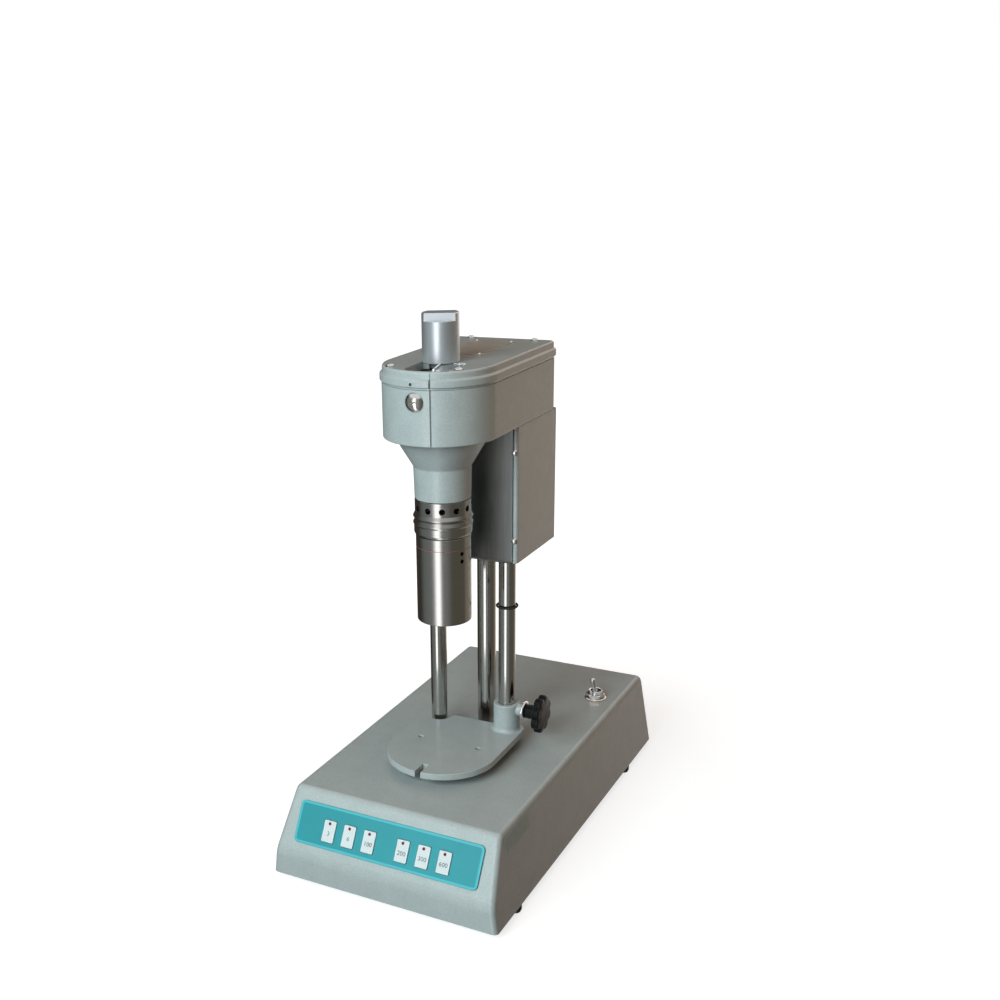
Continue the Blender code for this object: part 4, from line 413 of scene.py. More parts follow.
def slab(name, loops, low, high, edge=0.0, stations=None):
    """A flat piece: an outline and any holes, drawn up from low to high with rounded edges."""
    bm = bmesh.new()
    caps = [], []
    for number, loop in enumerate(loops):
        side = 1 if number == 0 else -1
        rings = [
            [bm.verts.new((x, y, z)) for x, y in (shifted(loop, side * inset) if inset else loop)]
            for inset, z in stations or edge_stations(low, high, edge)
        ]
        for first, second in zip(rings, rings[1:]):
            quads(bm, first, second)
        for cap, ring in zip(caps, (rings[0], rings[-1])):
            cap.append(ring)
    for cap in caps:
        if len(cap) == 1:
            bm.faces.new(cap[0])
            continue
        edges = [bm.edges.get((ring[i - 1], ring[i])) for ring in cap for i in range(len(ring))]
        bmesh.ops.triangle_fill(bm, use_beauty=True, edges=edges)
    return object_of(name, bm)


def loft(name, rings):
    """A solid through rings of equal point count, each a (points, height) pair."""
    bm = bmesh.new()
    rows = [[bm.verts.new((x, y, z)) for x, y in points] for points, z in rings]
    for first, second in zip(rows, rows[1:]):
        quads(bm, first, second)
    for row in (rows[0], rows[-1]):
        if len(set(v.co.to_tuple(7) for v in row)) > 2:
            bm.faces.new(row)
    return object_of(name, bm)


def lathe(name, profile, centre=(0, 0), steps=ROUND, closed=False, soft_steps=6):
    """A turned piece from (radius, height) points, rounded where a third value gives a radius."""
    bm = bmesh.new()
    rings = []
    for radius, z in softened(profile, soft_steps, closed):
        if radius < 1e-7:
            rings.append([bm.verts.new((centre[0], centre[1], z))])
            continue
        rings.append([bm.verts.new((x, y, z)) for x, y in circle(*centre, radius, steps)])
    for first, second in zip(rings, rings[1:]):
        quads(bm, first, second)
    if closed:
        quads(bm, rings[-1], rings[0])
    return object_of(name, bm)


def block(name, size, centre, edge=0.0):
    bm = bmesh.new()
    bmesh.ops.create_cube(bm, size=1.0)
    bmesh.ops.scale(bm, vec=size, verts=bm.verts)
    bmesh.ops.translate(bm, vec=centre, verts=bm.verts)
    if edge:
        bmesh.ops.bevel(bm, geom=bm.edges[:], offset=edge, segments=3, affect="EDGES", profile=0.5)
    return object_of(name, bm)


def pin(name, radius, low, high, centre=(0, 0), axis="Z", steps=SMALL_ROUND):
    """A plain round cutter or pin along an axis, with centre in the plane across it."""
    obj = lathe(name, [(0, low), (radius, low), (radius, high), (0, high)], steps=steps)
    a, b = centre
    places = {
        "X": placed(0, a, b, math.pi / 2, "Y"),
        "Y": placed(a, 0, b, -math.pi / 2, "X"),
        "Z": placed(a, b, 0),
    }
    return moved(obj, places[axis])


def moved(obj, matrix):
    obj.data.transform(matrix)
    return obj


def placed(x, y, z, turn=0.0, axis="Z"):
    """A turn about an axis, and then a move."""
    return Matrix.Translation((x, y, z)) @ Matrix.Rotation(turn, 4, axis)


def baked(obj):
    """Puts the object's modifiers into its mesh."""
    bpy.context.view_layer.update()
    evaluated = obj.evaluated_get(bpy.context.evaluated_depsgraph_get())
    mesh = bpy.data.meshes.new_from_object(evaluated)
    obj.modifiers.clear()
    obj.data = mesh
    return obj


def carve(obj, *others, operation="DIFFERENCE"):
    for other in others:
        modifier = obj.modifiers.new(operation, "BOOLEAN")
        modifier.operation = operation
        modifier.solver = "EXACT"
        modifier.object = other
    baked(obj)
    for other in others:
        bpy.data.objects.remove(other)
    return obj


def join(obj, *others):
    return carve(obj, *others, operation="UNION")


def gathered(obj, *others):
    """Several separate meshes as one object."""
    bm = bmesh.new()
    for one in (obj, *others):
        bm.from_mesh(one.data)
    bm.to_mesh(obj.data)
    bm.free()
    for other in others:
        bpy.data.objects.remove(other)
    return obj


def bent_sheet(name, path, low, high, thickness):
    """A bent sheet: an open path in XY drawn up in Z and thickened to its left."""
    inner = []
    for i, here in enumerate(path):
        before, after = path[max(i - 1, 0)], path[min(i + 1, len(path) - 1)]
        legs = [Vector(b) - Vector(a) for a, b in ((before, here), (here, after)) if a != b]
        normal = sum((Vector((-leg.y, leg.x)).normalized() for leg in legs), Vector((0, 0))).normalized()
        across = Vector((-legs[0].y, legs[0].x)).normalized()
        place = Vector(here) + normal * (thickness / normal.dot(across))
        inner.append((place.x, place.y))
    return slab(name, [path + inner[::-1]], low, high, 0.0002)


# Finishes

FINISHES = {}


def feed(tree, socket, value):
    """Links a node's output to a socket, or sets the socket to a number or a colour."""
    if isinstance(value, bpy.types.NodeSocket):
        tree.links.new(value, socket)
    else:
        socket.default_value = value


def node_of(tree, kind, **inputs):
    """A new shader node with its named inputs fed."""
    node = tree.nodes.new("ShaderNode" + kind)
    for name, value in inputs.items():
        feed(tree, node.inputs[name.replace("_", " ")], value)
    return node


def math_node(tree, operation, *values):
    node = tree.nodes.new("ShaderNodeMath")
    node.operation = operation
    for socket, value in zip(node.inputs, values):
        feed(tree, socket, value)
    return node.outputs["Value"]


def ranged(tree, value, low, high, new_low, new_high):
    """A value carried from one range to another, held at both ends."""
    limits = {"From_Min": low, "From_Max": high, "To_Min": new_low, "To_Max": new_high}
    return node_of(tree, "MapRange", Value=value, **limits).outputs["Result"]


def finish(name, colour, roughness, metallic=0.0, mottle=0.06, mottle_scale=60.0, fleck=0.0,
           fleck_scale=900.0, relief=0.0, relief_scale=900.0, stretch=(1, 1, 1), spread=0.05, **sockets):
    """A procedural material: clouded colour, optional flecks and relief, uneven gloss."""
    material = bpy.data.materials.new(name)
    material.use_nodes = True
    tree = material.node_tree
    shader = tree.nodes["Principled BSDF"].inputs
    shader["Metallic"].default_value = metallic
    for socket, value in sockets.items():
        shader[socket.replace("_", " ")].default_value = value
    plain = node_of(tree, "TexCoord").outputs["Object"]
    grain = node_of(tree, "Mapping", Vector=plain, Scale=stretch).outputs["Vector"]

    def noise(scale, detail, source=grain):
        return node_of(tree, "TexNoise", Vector=source, Scale=scale, Detail=detail).outputs["Fac"]

    tone = ranged(tree, noise(mottle_scale, 3.0), 0.3, 0.7, 1 - mottle, 1 + mottle)
    if fleck:
        glitter = ranged(tree, noise(fleck_scale, 1.0, plain), 0.35, 0.68, -fleck, fleck)
        tone = math_node(tree, "ADD", tone, glitter)
    tint = tree.nodes.new("ShaderNodeVectorMath")
    tint.operation = "SCALE"
    tint.inputs[0].default_value = colour
    feed(tree, tint.inputs["Scale"], tone)
    feed(tree, shader["Base Color"], tint.outputs["Vector"])
    gloss = ranged(tree, noise(mottle_scale * 3, 2.0), 0.3, 0.7, roughness - spread, roughness + spread)
    feed(tree, shader["Roughness"], gloss)
    if relief:
        bump = node_of(tree, "Bump", Strength=relief, Distance=0.0002, Height=noise(relief_scale, 2.0))
        feed(tree, shader["Normal"], bump.outputs["Normal"])
    FINISHES[name] = material


LATHE_GRAIN = (0.02, 0.02, 1.0)
finish("hammered_paint", (0.360, 0.385, 0.380), 0.42, 0.10, 0.04, 70, fleck=0.07, fleck_scale=950,
       relief=0.22, relief_scale=750, Coat_Weight=0.35, Coat_Roughness=0.16)
finish("ground_steel", (0.52, 0.51, 0.49), 0.15, 1.0, 0.04, 2600, stretch=LATHE_GRAIN, spread=0.03,
       relief=0.03, relief_scale=3200)
finish("sleeve_steel", (0.48, 0.47, 0.45), 0.22, 1.0, 0.05, 2400, stretch=LATHE_GRAIN, spread=0.03,
       relief=0.05, relief_scale=2800)
finish("brushed_steel", (0.29, 0.31, 0.31), 0.34, 1.0, 0.08, 1100, stretch=(1, 1, 0.03), spread=0.06,
       relief=0.07, relief_scale=2200)
finish("satin_aluminium", (0.67, 0.71, 0.75), 0.36, 0.85, 0.015, 1800, stretch=LATHE_GRAIN, spread=0.03,
       relief=0.02, relief_scale=3000)
finish("bright_plate", (0.80, 0.79, 0.77), 0.18, 1.0, 0.05, 300, spread=0.05)
finish("nickel_brass", (0.78, 0.66, 0.55), 0.20, 1.0, 0.08, 250, spread=0.05)
finish("brass", (0.72, 0.52, 0.26), 0.30, 1.0, 0.07, 200, relief=0.05)
finish("core_steel", (0.20, 0.20, 0.21), 0.50, 1.0, 0.15, 150, spread=0.08)
finish("black_plastic", (0.006, 0.0065, 0.007), 0.24, 0.0, 0.20, 90, relief=0.03, relief_scale=1200,
       Specular_IOR_Level=0.2)
finish("black_rubber", (0.020, 0.020, 0.020), 0.78, 0.0, 0.20, 200, relief=0.20)
# A black matte finish for painted shade: dark discs set in a hollow and round screw heads, where only shade
# falls
finish("painted_recess_shade", (0.010, 0.010, 0.010), 0.85, 0.0, 0.20, 200)
finish("keypad_film", (0.020, 0.235, 0.265), 0.30, 0.0, 0.05, 22, relief=0.02, relief_scale=500, spread=0.01,
       Coat_Weight=0.30)
finish("keypad_border", (0.060, 0.360, 0.400), 0.35, 0.0, 0.03, 60)
finish("key_film", (0.54, 0.56, 0.56), 0.36, 0.0, 0.02, 90, relief=0.04, relief_scale=600)
finish("key_ink", (0.05, 0.055, 0.06), 0.50, 0.0, 0.08, 200)
finish("lamp_red", (0.15, 0.008, 0.030), 0.25, 0.0, 0.10, 300)
finish("line_red", (0.25, 0.07, 0.06), 0.45, 0.0, 0.10, 300)
finish("dial_enamel", (0.62, 0.60, 0.55), 0.42, 0.0, 0.03, 80, relief=0.03)
finish("dial_ink", (0.03, 0.03, 0.035), 0.50, 0.0, 0.10, 200)
finish("name_plate", (0.43, 0.39, 0.34), 0.36, 0.3, 0.14, 420, stretch=(0.08, 1, 1), spread=0.05)
finish("sticker", (0.28, 0.35, 0.34), 0.40, 0.0, 0.04, 120)
finish("circuit_board", (0.02, 0.16, 0.07), 0.40, 0.0, 0.12, 120, relief=0.08, relief_scale=400)
finish("window_glass", (0.80, 0.86, 0.88), 0.05, 0.0, 0.02, 30, spread=0.02,
       Transmission_Weight=0.92, IOR=1.49)

NODE_FINISHES = {
    "base_plate": "hammered_paint", "column_frame": "satin_aluminium", "bearing_bridge": "satin_aluminium",
    "transformer": "core_steel", "drive_board": "circuit_board", "key_board": "circuit_board",
    "spindle_gear": "brass", "idler_gear": "brass", "motor_pinion": "brass", "spring_arbor": "brass",
    "motor": "core_steel", "rotor_spindle": "ground_steel", "bob_shaft": "ground_steel",
}


def piece(obj, body, look, stands_for="", angle=35):
    """A finished piece: shaded, dressed, riding on its CAD body, standing for a CAD node if one is named."""
    obj.data.shade_smooth()
    obj.data.set_sharp_from_angle(angle=math.radians(angle))
    weighted = obj.modifiers.new("normals", "WEIGHTED_NORMAL")
    weighted.keep_sharp = True
    obj.data.materials.clear()
    obj.data.materials.append(FINISHES[look])
    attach(obj, body)
    if stands_for:
        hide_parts(stands_for)


def dome_screw(name, size, matrix, slots=1, turn=20, skirt=0.0, slot_share=0.24, cross_share=1.3):
    """A round-headed screw on the local z 0 plane: one slot runs right across, two make a short cross."""
    radius, rise = size
    ball = (radius ** 2 + rise ** 2) / (2 * rise)
    spread = math.asin(min(1.0, radius / ball))
    dome = [(ball * math.sin(spread * i / 8), rise - ball * (1 - math.cos(spread * i / 8))) for i in range(9)]
    foot = [(radius, -skirt), (0, -skirt)] if skirt else [(radius * 0.9, -0.0004), (0, -0.0004)]
    head = lathe(name, dome + foot, steps=SMALL_ROUND)
    slot = (radius * slot_share, radius * (cross_share if slots > 1 else 3), 1.1 * rise)
    cutters = []
    for i in range(slots):
        bar = block(f"{name}_slot_{i}", slot, (0, 0, rise))
        cutters.append(moved(bar, Matrix.Rotation(math.radians(turn + 90 * i), 4, "Z")))
    if cutters:
        carve(head, *cutters)
    return moved(head, matrix)


def fit_screw(name, size, matrix, **shape):
    piece(dome_screw(name, size, matrix, **shape), "root", "bright_plate")


def text_mesh(name, words, size, thickness, matrix):
    """Raised letters centred on the local origin, as a mesh."""
    curve = bpy.data.curves.new(name, "FONT")
    curve.body = words
    curve.size = size
    curve.extrude = thickness / 2
    curve.align_x = "CENTER"
    curve.align_y = "CENTER"
    curve.resolution_u = 3
    text = bpy.data.objects.new(name, curve)
    bpy.context.scene.collection.objects.link(text)
    bpy.context.view_layer.update()
    mesh = bpy.data.meshes.new_from_object(text.evaluated_get(bpy.context.evaluated_depsgraph_get()))
    bpy.data.objects.remove(text)
    obj = bpy.data.objects.new(name, mesh)
    bpy.context.scene.collection.objects.link(obj)
    return moved(obj, matrix)


# Base


def case_half_width(z):
    share = (z - FOOT_HEIGHT) / (BASE_HEIGHT - FOOT_HEIGHT)
    return (BASE_BOTTOM_WIDTH + (BASE_TOP_WIDTH - BASE_BOTTOM_WIDTH) * share) / 2


SLOPE = placed(0, (BASE_FRONT + TOP_FRONT) / 2, (BEND_HEIGHT + BASE_HEIGHT) / 2, SLOPE_ANGLE, "X")
REAR = (
    placed(0, BASE_REAR - REAR_FITTING_RISE * math.tan(REAR_LEAN), FOOT_HEIGHT + REAR_FITTING_RISE, math.pi)
    @ Matrix.Rotation(math.pi / 2 - REAR_LEAN, 4, "X")
)


def make_case():
    profile = softened([
        (BASE_FRONT, FOOT_HEIGHT),
        (BASE_FRONT, BEND_HEIGHT, BEND_RADIUS),
        (TOP_FRONT, BASE_HEIGHT, TOP_EDGE_RADIUS),
        (TOP_REAR, BASE_HEIGHT, TOP_EDGE_RADIUS),
        (BASE_REAR, FOOT_HEIGHT),
    ], steps=10)
    bm = bmesh.new()
    sides = [[bm.verts.new((side * case_half_width(z), y, z)) for y, z in profile] for side in (-1, 1)]
    for i in range(len(profile) - 1):
        bm.faces.new((sides[0][i], sides[1][i], sides[1][i + 1], sides[0][i + 1]))
    bm.faces.new(sides[0])
    bm.faces.new(sides[1])
    bmesh.ops.recalc_face_normals(bm, faces=bm.faces)
    rim = [e for e in bm.edges if len(e.link_faces) == 2 and e.calc_face_angle() > math.radians(60)]
    bmesh.ops.bevel(bm, geom=rim, offset=SIDE_EDGE_ROUND, segments=6, affect="EDGES", profile=0.5)
    case = object_of("case_shell", bm)
    shell = case.modifiers.new("sheet", "SOLIDIFY")
    shell.thickness = SHEET
    shell.offset = -1
    shell.use_even_offset = True
    baked(case)
    deep = 4 * SHEET
    cutters = []
    for x in KEY_PLACES.values():
        size = (KEY_SIZE[0] + 2 * SLIDE, KEY_SIZE[1] + 2 * SLIDE, deep)
        cutters.append(moved(block("cutter", size, (x, KEY_RISE, 0)), SLOPE))
    cutters.append(pin("cutter", BUSH_RADIUS + SLIDE, BASE_HEIGHT - deep, BASE_HEIGHT + deep, TOGGLE))
    for x, y, radius in COLUMNS.values():
        hole = pin("cutter", radius + SLIDE, BASE_HEIGHT - deep, BASE_HEIGHT + deep, (x, y), steps=ROUND)
        cutters.append(hole)
    cutters.append(moved(slab("cutter", [rear_panel_outline(SLIDE)], -deep, deep), REAR))
    carve(case, *cutters)
    piece(case, "root", "hammered_paint", "base_case", 25)


def rear_panel_outline(grow):
    half = REAR_PANEL_HALF_WIDTH + grow
    low, high = -REAR_PANEL_DROP - grow, REAR_PANEL_RISE + grow
    return rounded_rectangle(-half, low, half, high, REAR_PANEL_CORNER + grow)


def make_rear_panel():
    half_w, half_h = INLET_WINDOW[0] / 2, INLET_WINDOW[1] / 2
    window = rounded_rectangle(-INLET_X - half_w, -half_h, -INLET_X + half_w, half_h, 0.0006, 4)
    hole = circle(-FUSE_X, 0, FUSE_HOLE_RADIUS, 64)
    panel = slab("rear_sheet", [rear_panel_outline(0), window, hole], -SHEET, 0, 0.0003)
    piece(moved(panel, REAR), "root", "hammered_paint", "rear_panel", 25)
    for i, (x, y) in enumerate(REAR_SCREW_PLACES):
        fit_screw(f"rear_panel_screw_{i}", REAR_SCREW, REAR @ placed(x, y, 0), slots=2, skirt=0.0015)


def make_feet():
    top = FOOT_HEIGHT - SEAT
    recess, depth = FOOT_RECESS_RADIUS, FOOT_RECESS_DEPTH
    for label, (x, y) in FOOT_PLACES.items():
        foot = lathe(f"rubber_foot_{label}", [
            (0, top), (FOOT_RADIUS, top, 0.0004), (FOOT_RADIUS, FOOT_HEIGHT / 3, 0.0006),
            (FOOT_TREAD, 0, 0.0004), (recess + 0.0002, 0, 0.0003), (recess, depth), (0, depth),
        ], (x, y), 64)
        piece(foot, "root", "black_rubber", f"foot_{label}")
        fit_screw(f"foot_screw_{label}", FOOT_SCREW, placed(x, y, depth - 0.0001, math.pi, "X"), slots=2)


def make_keypad():
    width, height, thick = PANEL
    half_w, half_h = KEY_SIZE[0] / 2, KEY_SIZE[1] / 2
    wide, tall = half_w + SLIDE, half_h + SLIDE
    windows = [
        rounded_rectangle(x - wide, KEY_RISE - tall, x + wide, KEY_RISE + tall, 0.0009, 4)
        for x in KEY_PLACES.values()
    ]
    outline = rounded_rectangle(-width / 2, -height / 2, width / 2, height / 2, PANEL_CORNER)
    top = SEAT + thick
    panel = slab("keypad_film", [outline, *windows], SEAT, top, 0.00025)
    piece(moved(panel, SLOPE), "root", "keypad_film", "keypad_panel")
    edges = [shifted(outline, inset) for inset in (BORDER_INSET, BORDER_INSET + BORDER_WIDTH)]
    border = slab("keypad_border", edges, top - 0.0001, top + INK)
    piece(moved(border, SLOPE), "root", "keypad_border")
    key_top = top + KEY_PROUD
    flange = SHEET + SEAT + KEY_LIP_THICKNESS
    key_outline = rounded_rectangle(-half_w, -half_h, half_w, half_h, KEY_CORNER, 5)
    lip_size = (2 * (half_w + KEY_LIP), 2 * (half_h + KEY_LIP), KEY_LIP_THICKNESS)
    for label, x in KEY_PLACES.items():
        body = f"key_{label}_button"
        at = SLOPE @ placed(x, KEY_RISE, 0)
        key = slab(f"keycap_{label}", [key_outline], -flange, key_top, 0.0002)
        lip = block("lip", lip_size, (0, 0, -flange + KEY_LIP_THICKNESS / 2))
        piece(moved(join(key, lip), at), body, "key_film", f"key_{label}")
        lamp = lathe(f"key_lamp_{label}", [
            (0, key_top + 0.00024), (KEY_LAMP_RADIUS * 0.75, key_top + 0.00018),
            (KEY_LAMP_RADIUS, key_top + 0.00002), (KEY_LAMP_RADIUS, key_top - 0.0002), (0, key_top - 0.0002),
        ], KEY_LAMP_PLACE, 32)
        piece(moved(lamp, at), body, "lamp_red")
        digits_at = at @ placed(0, KEY_NUMBER_RISE, key_top + 0.00001)
        digits = text_mesh(f"key_number_{label}", label, KEY_NUMBER_SIZE, INK, digits_at)
        piece(digits, body, "key_ink")


def make_toggle():
    x, y = TOGGLE
    under = BASE_HEIGHT - SHEET - SEAT
    bush_top = BASE_HEIGHT + BUSH_RISE
    body = block("switch_body", SWITCH_BODY, (x, y, under - SWITCH_BODY[2] / 2), 0.0008)
    piece(body, "root", "black_plastic", "toggle_switch")
    threads = [(BUSH_RADIUS - 0.0005, bush_top)]
    for i in range(THREAD_TURNS):
        z = bush_top - 0.0004 - i * THREAD_PITCH
        threads += [(BUSH_RADIUS, z), (BUSH_RADIUS, z - THREAD_PITCH * 0.2)]
        threads.append((BUSH_RADIUS - 0.0003, z - THREAD_PITCH * 0.6))
    bush = lathe("switch_bush", [
        (BUSH_BORE, bush_top - 0.0003), *threads, (BUSH_RADIUS, under - 0.0002), (BUSH_BORE, under - 0.0002),
    ], TOGGLE, 64, True)
    piece(bush, "root", "bright_plate", angle=25)
    # A black disc at the foot of the bush's bore: painted shade inside the bore
    piece(pin("switch_bore_shade", BUSH_BORE + 0.0002, under, under + 0.0002, TOGGLE), "root", "painted_recess_shade")
    low = BASE_HEIGHT + SEAT
    hole = BUSH_RADIUS + SLIDE
    washer = lathe("switch_washer", [
        (hole, low + WASHER_THICKNESS), (WASHER_RADIUS - 0.0010, low + WASHER_THICKNESS, 0.0003),
        (WASHER_RADIUS, low + 0.0004, 0.0003), (WASHER_RADIUS, low), (hole, low),
    ], TOGGLE, 96, True)
    piece(washer, "root", "nickel_brass", "toggle_washer")
    nut_low = low + WASHER_THICKNESS + SEAT
    nut_top = nut_low + NUT_THICKNESS
    corner = NUT_FLATS / math.sqrt(3)
    nut = slab("switch_nut", [circle(0, 0, corner, 6), circle(0, 0, hole, 48)], nut_low, nut_top)
    chamfer = lathe("chamfer", [
        (0, nut_low - 0.001), (corner * 1.3, nut_low - 0.001), (corner + 0.0008, nut_low + 0.0016),
        (corner - 0.0010, nut_top), (0, nut_top + 0.00001),
    ], steps=96)
    carve(nut, chamfer, operation="INTERSECT")
    piece(moved(nut, placed(x, y, 0, NUT_TURN)), "root", "bright_plate", "toggle_nut")
    tip = [(LEVER_TIP * math.sin(a), LEVER_LENGTH - LEVER_TIP * (1 - math.cos(a))) for a in quarter_turn(8)]
    neck = math.asin(LEVER_ROOT / LEVER_BALL)
    turns = [neck + (math.pi - neck) * i / 16 for i in range(16)]
    ball = [(LEVER_BALL * math.sin(a), LEVER_BALL * math.cos(a)) for a in turns]
    lever = lathe("switch_lever", [*tip, *ball, (0, -LEVER_BALL)], steps=64)
    at = placed(x, y, LEVER_PIVOT, -LEVER_THROW, "Y")
    piece(moved(lever, at), "toggle", "bright_plate", "toggle_lever")


def make_rear_fittings():
    top = SEAT + INLET_PROUD
    at = REAR @ placed(-INLET_X, 0, 0)
    half_w, half_h = INLET_FLANGE[0] / 2, INLET_FLANGE[1] / 2
    flange = rounded_rectangle(-half_w, -half_h, half_w, half_h, INLET_FLANGE_CORNER)
    inlet = slab("inlet_shell", [flange], SEAT, top, 0.0004)
    join(inlet, block("body", INLET_BODY, (0, 0, top - INLET_DEPTH + INLET_BODY[2] / 2), 0.0012))
    wide, tall = SOCKET_HALF
    cut_wide, cut_tall = wide - SOCKET_CUT[0], tall - SOCKET_CUT[1]
    outline = softened([
        (-wide, -tall, 0.0015), (wide, -tall, 0.0015), (wide, cut_tall, 0.0012), (cut_wide, tall, 0.0012),
        (-cut_wide, tall, 0.0012), (-wide, cut_tall, 0.0012),
    ], 6, True)
    socket = slab("socket", [outline], top - SOCKET_DEPTH, top + SHEET)
    holes = [pin("hole", 0.0018, -0.003, 0.006, (side * INLET_SCREW_X, 0)) for side in (-1, 1)]
    carve(inlet, socket, *holes)
    piece(moved(inlet, at), "root", "black_plastic", "power_inlet")
    for side in (-1, 1):
        screw_at = at @ placed(side * INLET_SCREW_X, 0, top - 0.0001)
        fit_screw(f"inlet_screw_{side}", INLET_SCREW, screw_at, slots=2, skirt=0.002)
    for i, (x, y) in enumerate(BLADE_PLACES):
        blade = block(f"inlet_pin_{i}", BLADE_SIZE, (x, y, top - SOCKET_DEPTH + BLADE_SIZE[2] / 2), 0.0004)
        piece(moved(blade, at), "root", "bright_plate")
    cap_top = SEAT + FUSE_PROUD
    fuse = lathe("fuse_cap", [
        (0, cap_top), (FUSE_FACE_RADIUS, cap_top, 0.0005), (FUSE_RIM_RADIUS, SEAT + FUSE_RIM, 0.0005),
        (FUSE_RIM_RADIUS, SEAT), (FUSE_BODY_RADIUS, SEAT), (FUSE_BODY_RADIUS, -FUSE_DEPTH), (0, -FUSE_DEPTH),
    ], steps=96)
    carve(fuse, block("slot", FUSE_SLOT, (0, 0, cap_top)))
    piece(moved(fuse, REAR @ placed(-FUSE_X, 0, 0)), "root", "black_plastic", "fuse_holder")


def make_labels():
    """The bare sticker on the base's right side and the bare plate on the lid."""
    lean = math.atan2((BASE_BOTTOM_WIDTH - BASE_TOP_WIDTH) / 2, BASE_HEIGHT - FOOT_HEIGHT)
    y, z = STICKER_PLACE
    axes = Matrix((
        (0, -math.sin(lean), math.cos(lean), case_half_width(z)),
        (1, 0, 0, y),
        (0, math.cos(lean), math.sin(lean), z),
        (0, 0, 0, 1),
    ))
    wide, tall = STICKER_HALF
    outline = rounded_rectangle(-wide, -tall, wide, tall, 0.0006, 4)
    sticker = slab("side_sticker", [outline], 0.0, STICKER_THICKNESS, 0.0001)
    piece(moved(sticker, axes), "root", "sticker")
    top = LID_TOP + NAME_PLATE_THICKNESS
    plate = slab("lid_name_plate", [rounded_rectangle(*NAME_PLATE, 0.0008, 4)], LID_TOP, top, 0.0002)
    piece(plate, "root", "name_plate")
    for i, (x, y) in enumerate(RIVET_PLACES):
        fit_screw(f"plate_rivet_{i}", RIVET, placed(x, y, top), slots=0)


# Columns and stage

CLAMP_AXIS = placed(COLUMN_X, COLUMN_Y, CLAMP_HEIGHT, math.pi / 2, "Y")


def make_columns():
    for label, (x, y, radius) in COLUMNS.items():
        column = lathe(f"polished_column_{label}", [
            (0, COLUMN_TOP), (radius, COLUMN_TOP, 0.0006), (radius, COLUMN_FOOT),
            (COLUMN_STUD_RADIUS, COLUMN_FOOT), (COLUMN_STUD_RADIUS, COLUMN_STUD_LOW), (0, COLUMN_STUD_LOW),
        ], (x, y))
        piece(column, "root", "ground_steel", f"column_{label}")
    section = circle(COLUMN_RADIUS + SEAT + STOP_RING_WIRE, STOP_RING_HEIGHT, STOP_RING_WIRE, 20)
    ring = lathe("rubber_stop_ring", section, (COLUMN_X, COLUMN_Y), 96, True)
    piece(ring, "root", "black_rubber", "stop_ring", 60)


def stage_outline():
    half = STAGE_HALF_WIDTH
    reach = math.degrees(math.asin(STAGE_SLOT_WIDTH / 2 / half))
    front = arc(0, STAGE_ROUND_Y, half, 180, 270 - reach, 60)
    slot = [(-STAGE_SLOT_WIDTH / 2, STAGE_SLOT_END), (STAGE_SLOT_WIDTH / 2, STAGE_SLOT_END)]
    front += slot + arc(0, STAGE_ROUND_Y, half, 270 + reach, 360, 60)
    wrap = half - COLUMN_X
    right = arc(COLUMN_X, COLUMN_Y, wrap, 0, 90, 24)
    shoulder = [(COLUMN_X - wrap, COLUMN_Y + wrap), (COLUMN_X - wrap, STAGE_REAR)]
    tail = [(STAGE_TAIL_X, STAGE_REAR)]
    first = math.degrees(math.atan2(STAGE_REAR - COLUMN_Y, STAGE_TAIL_X + COLUMN_X))
    notch = arc(-COLUMN_X, COLUMN_Y, NOTCH_RADIUS, first - NOTCH_LEAD, NOTCH_END, 40)
    left = [(-half, notch[-1][1] - 0.003)]
    return front + right + shoulder + tail + notch + left


def make_stage():
    low = STAGE_TOP - STAGE_THICKNESS
    holes = [circle(x, y, PEG_HOLE_RADIUS) for x, y in PEG_PLACES]
    plate = slab("stage_casting", [stage_outline(), *holes], low, STAGE_TOP, 0.0005)
    root = low + STAGE_THICKNESS / 2
    foot = fillet((BOSS_RADIUS, STAGE_TOP), (BOSS_RADIUS, BOSS_TOP), (0.03, STAGE_TOP), BOSS_FLARE, 10)
    crown = softened([(0, BOSS_TOP), (BOSS_RADIUS, BOSS_TOP, 0.0008), foot[0]])
    boss = lathe("boss", crown + foot[1:] + [(foot[-1][0], root), (0, root)], (COLUMN_X, COLUMN_Y))
    reach = CLAMP_PAD_END - COLUMN_X
    wide = CLAMP_PAD_RADIUS
    pad = lathe("pad", [(0, reach), (wide, reach, 0.0004), (wide, 0), (0, 0)], steps=64)
    join(plate, boss, moved(pad, CLAMP_AXIS))
    bore = pin("bore", COLUMN_RADIUS + SLIDE, low - SHEET, BOSS_TOP + SHEET,
               (COLUMN_X, COLUMN_Y), steps=ROUND)
    tapped = pin("tapped", CLAMP_SCREW_RADIUS + SLIDE, COLUMN_X, CLAMP_PAD_END + SHEET,
                 (COLUMN_Y, CLAMP_HEIGHT), "X")
    carve(plate, bore, tapped)
    piece(plate, "stage", "hammered_paint", "stage_plate", 32)


def knob_ring(shrink, roundness):
    """The knob's lobed edge drawn in, and led towards a circle, as it nears the middle."""
    steps = 24 * KNOB_LOBES
    points = []
    for i in range(steps):
        angle = 2 * math.pi * i / steps
        lobe = 0.5 - 0.5 * math.cos(KNOB_LOBES * angle)
        radius = KNOB_RADIUS - KNOB_LOBE_DEPTH * (1 - lobe) ** 2
        mean = KNOB_RADIUS - KNOB_LOBE_DEPTH / 3
        radius = (radius + (mean - radius) * roundness) - shrink
        points.append((radius * math.cos(angle), radius * math.sin(angle)))
    return points


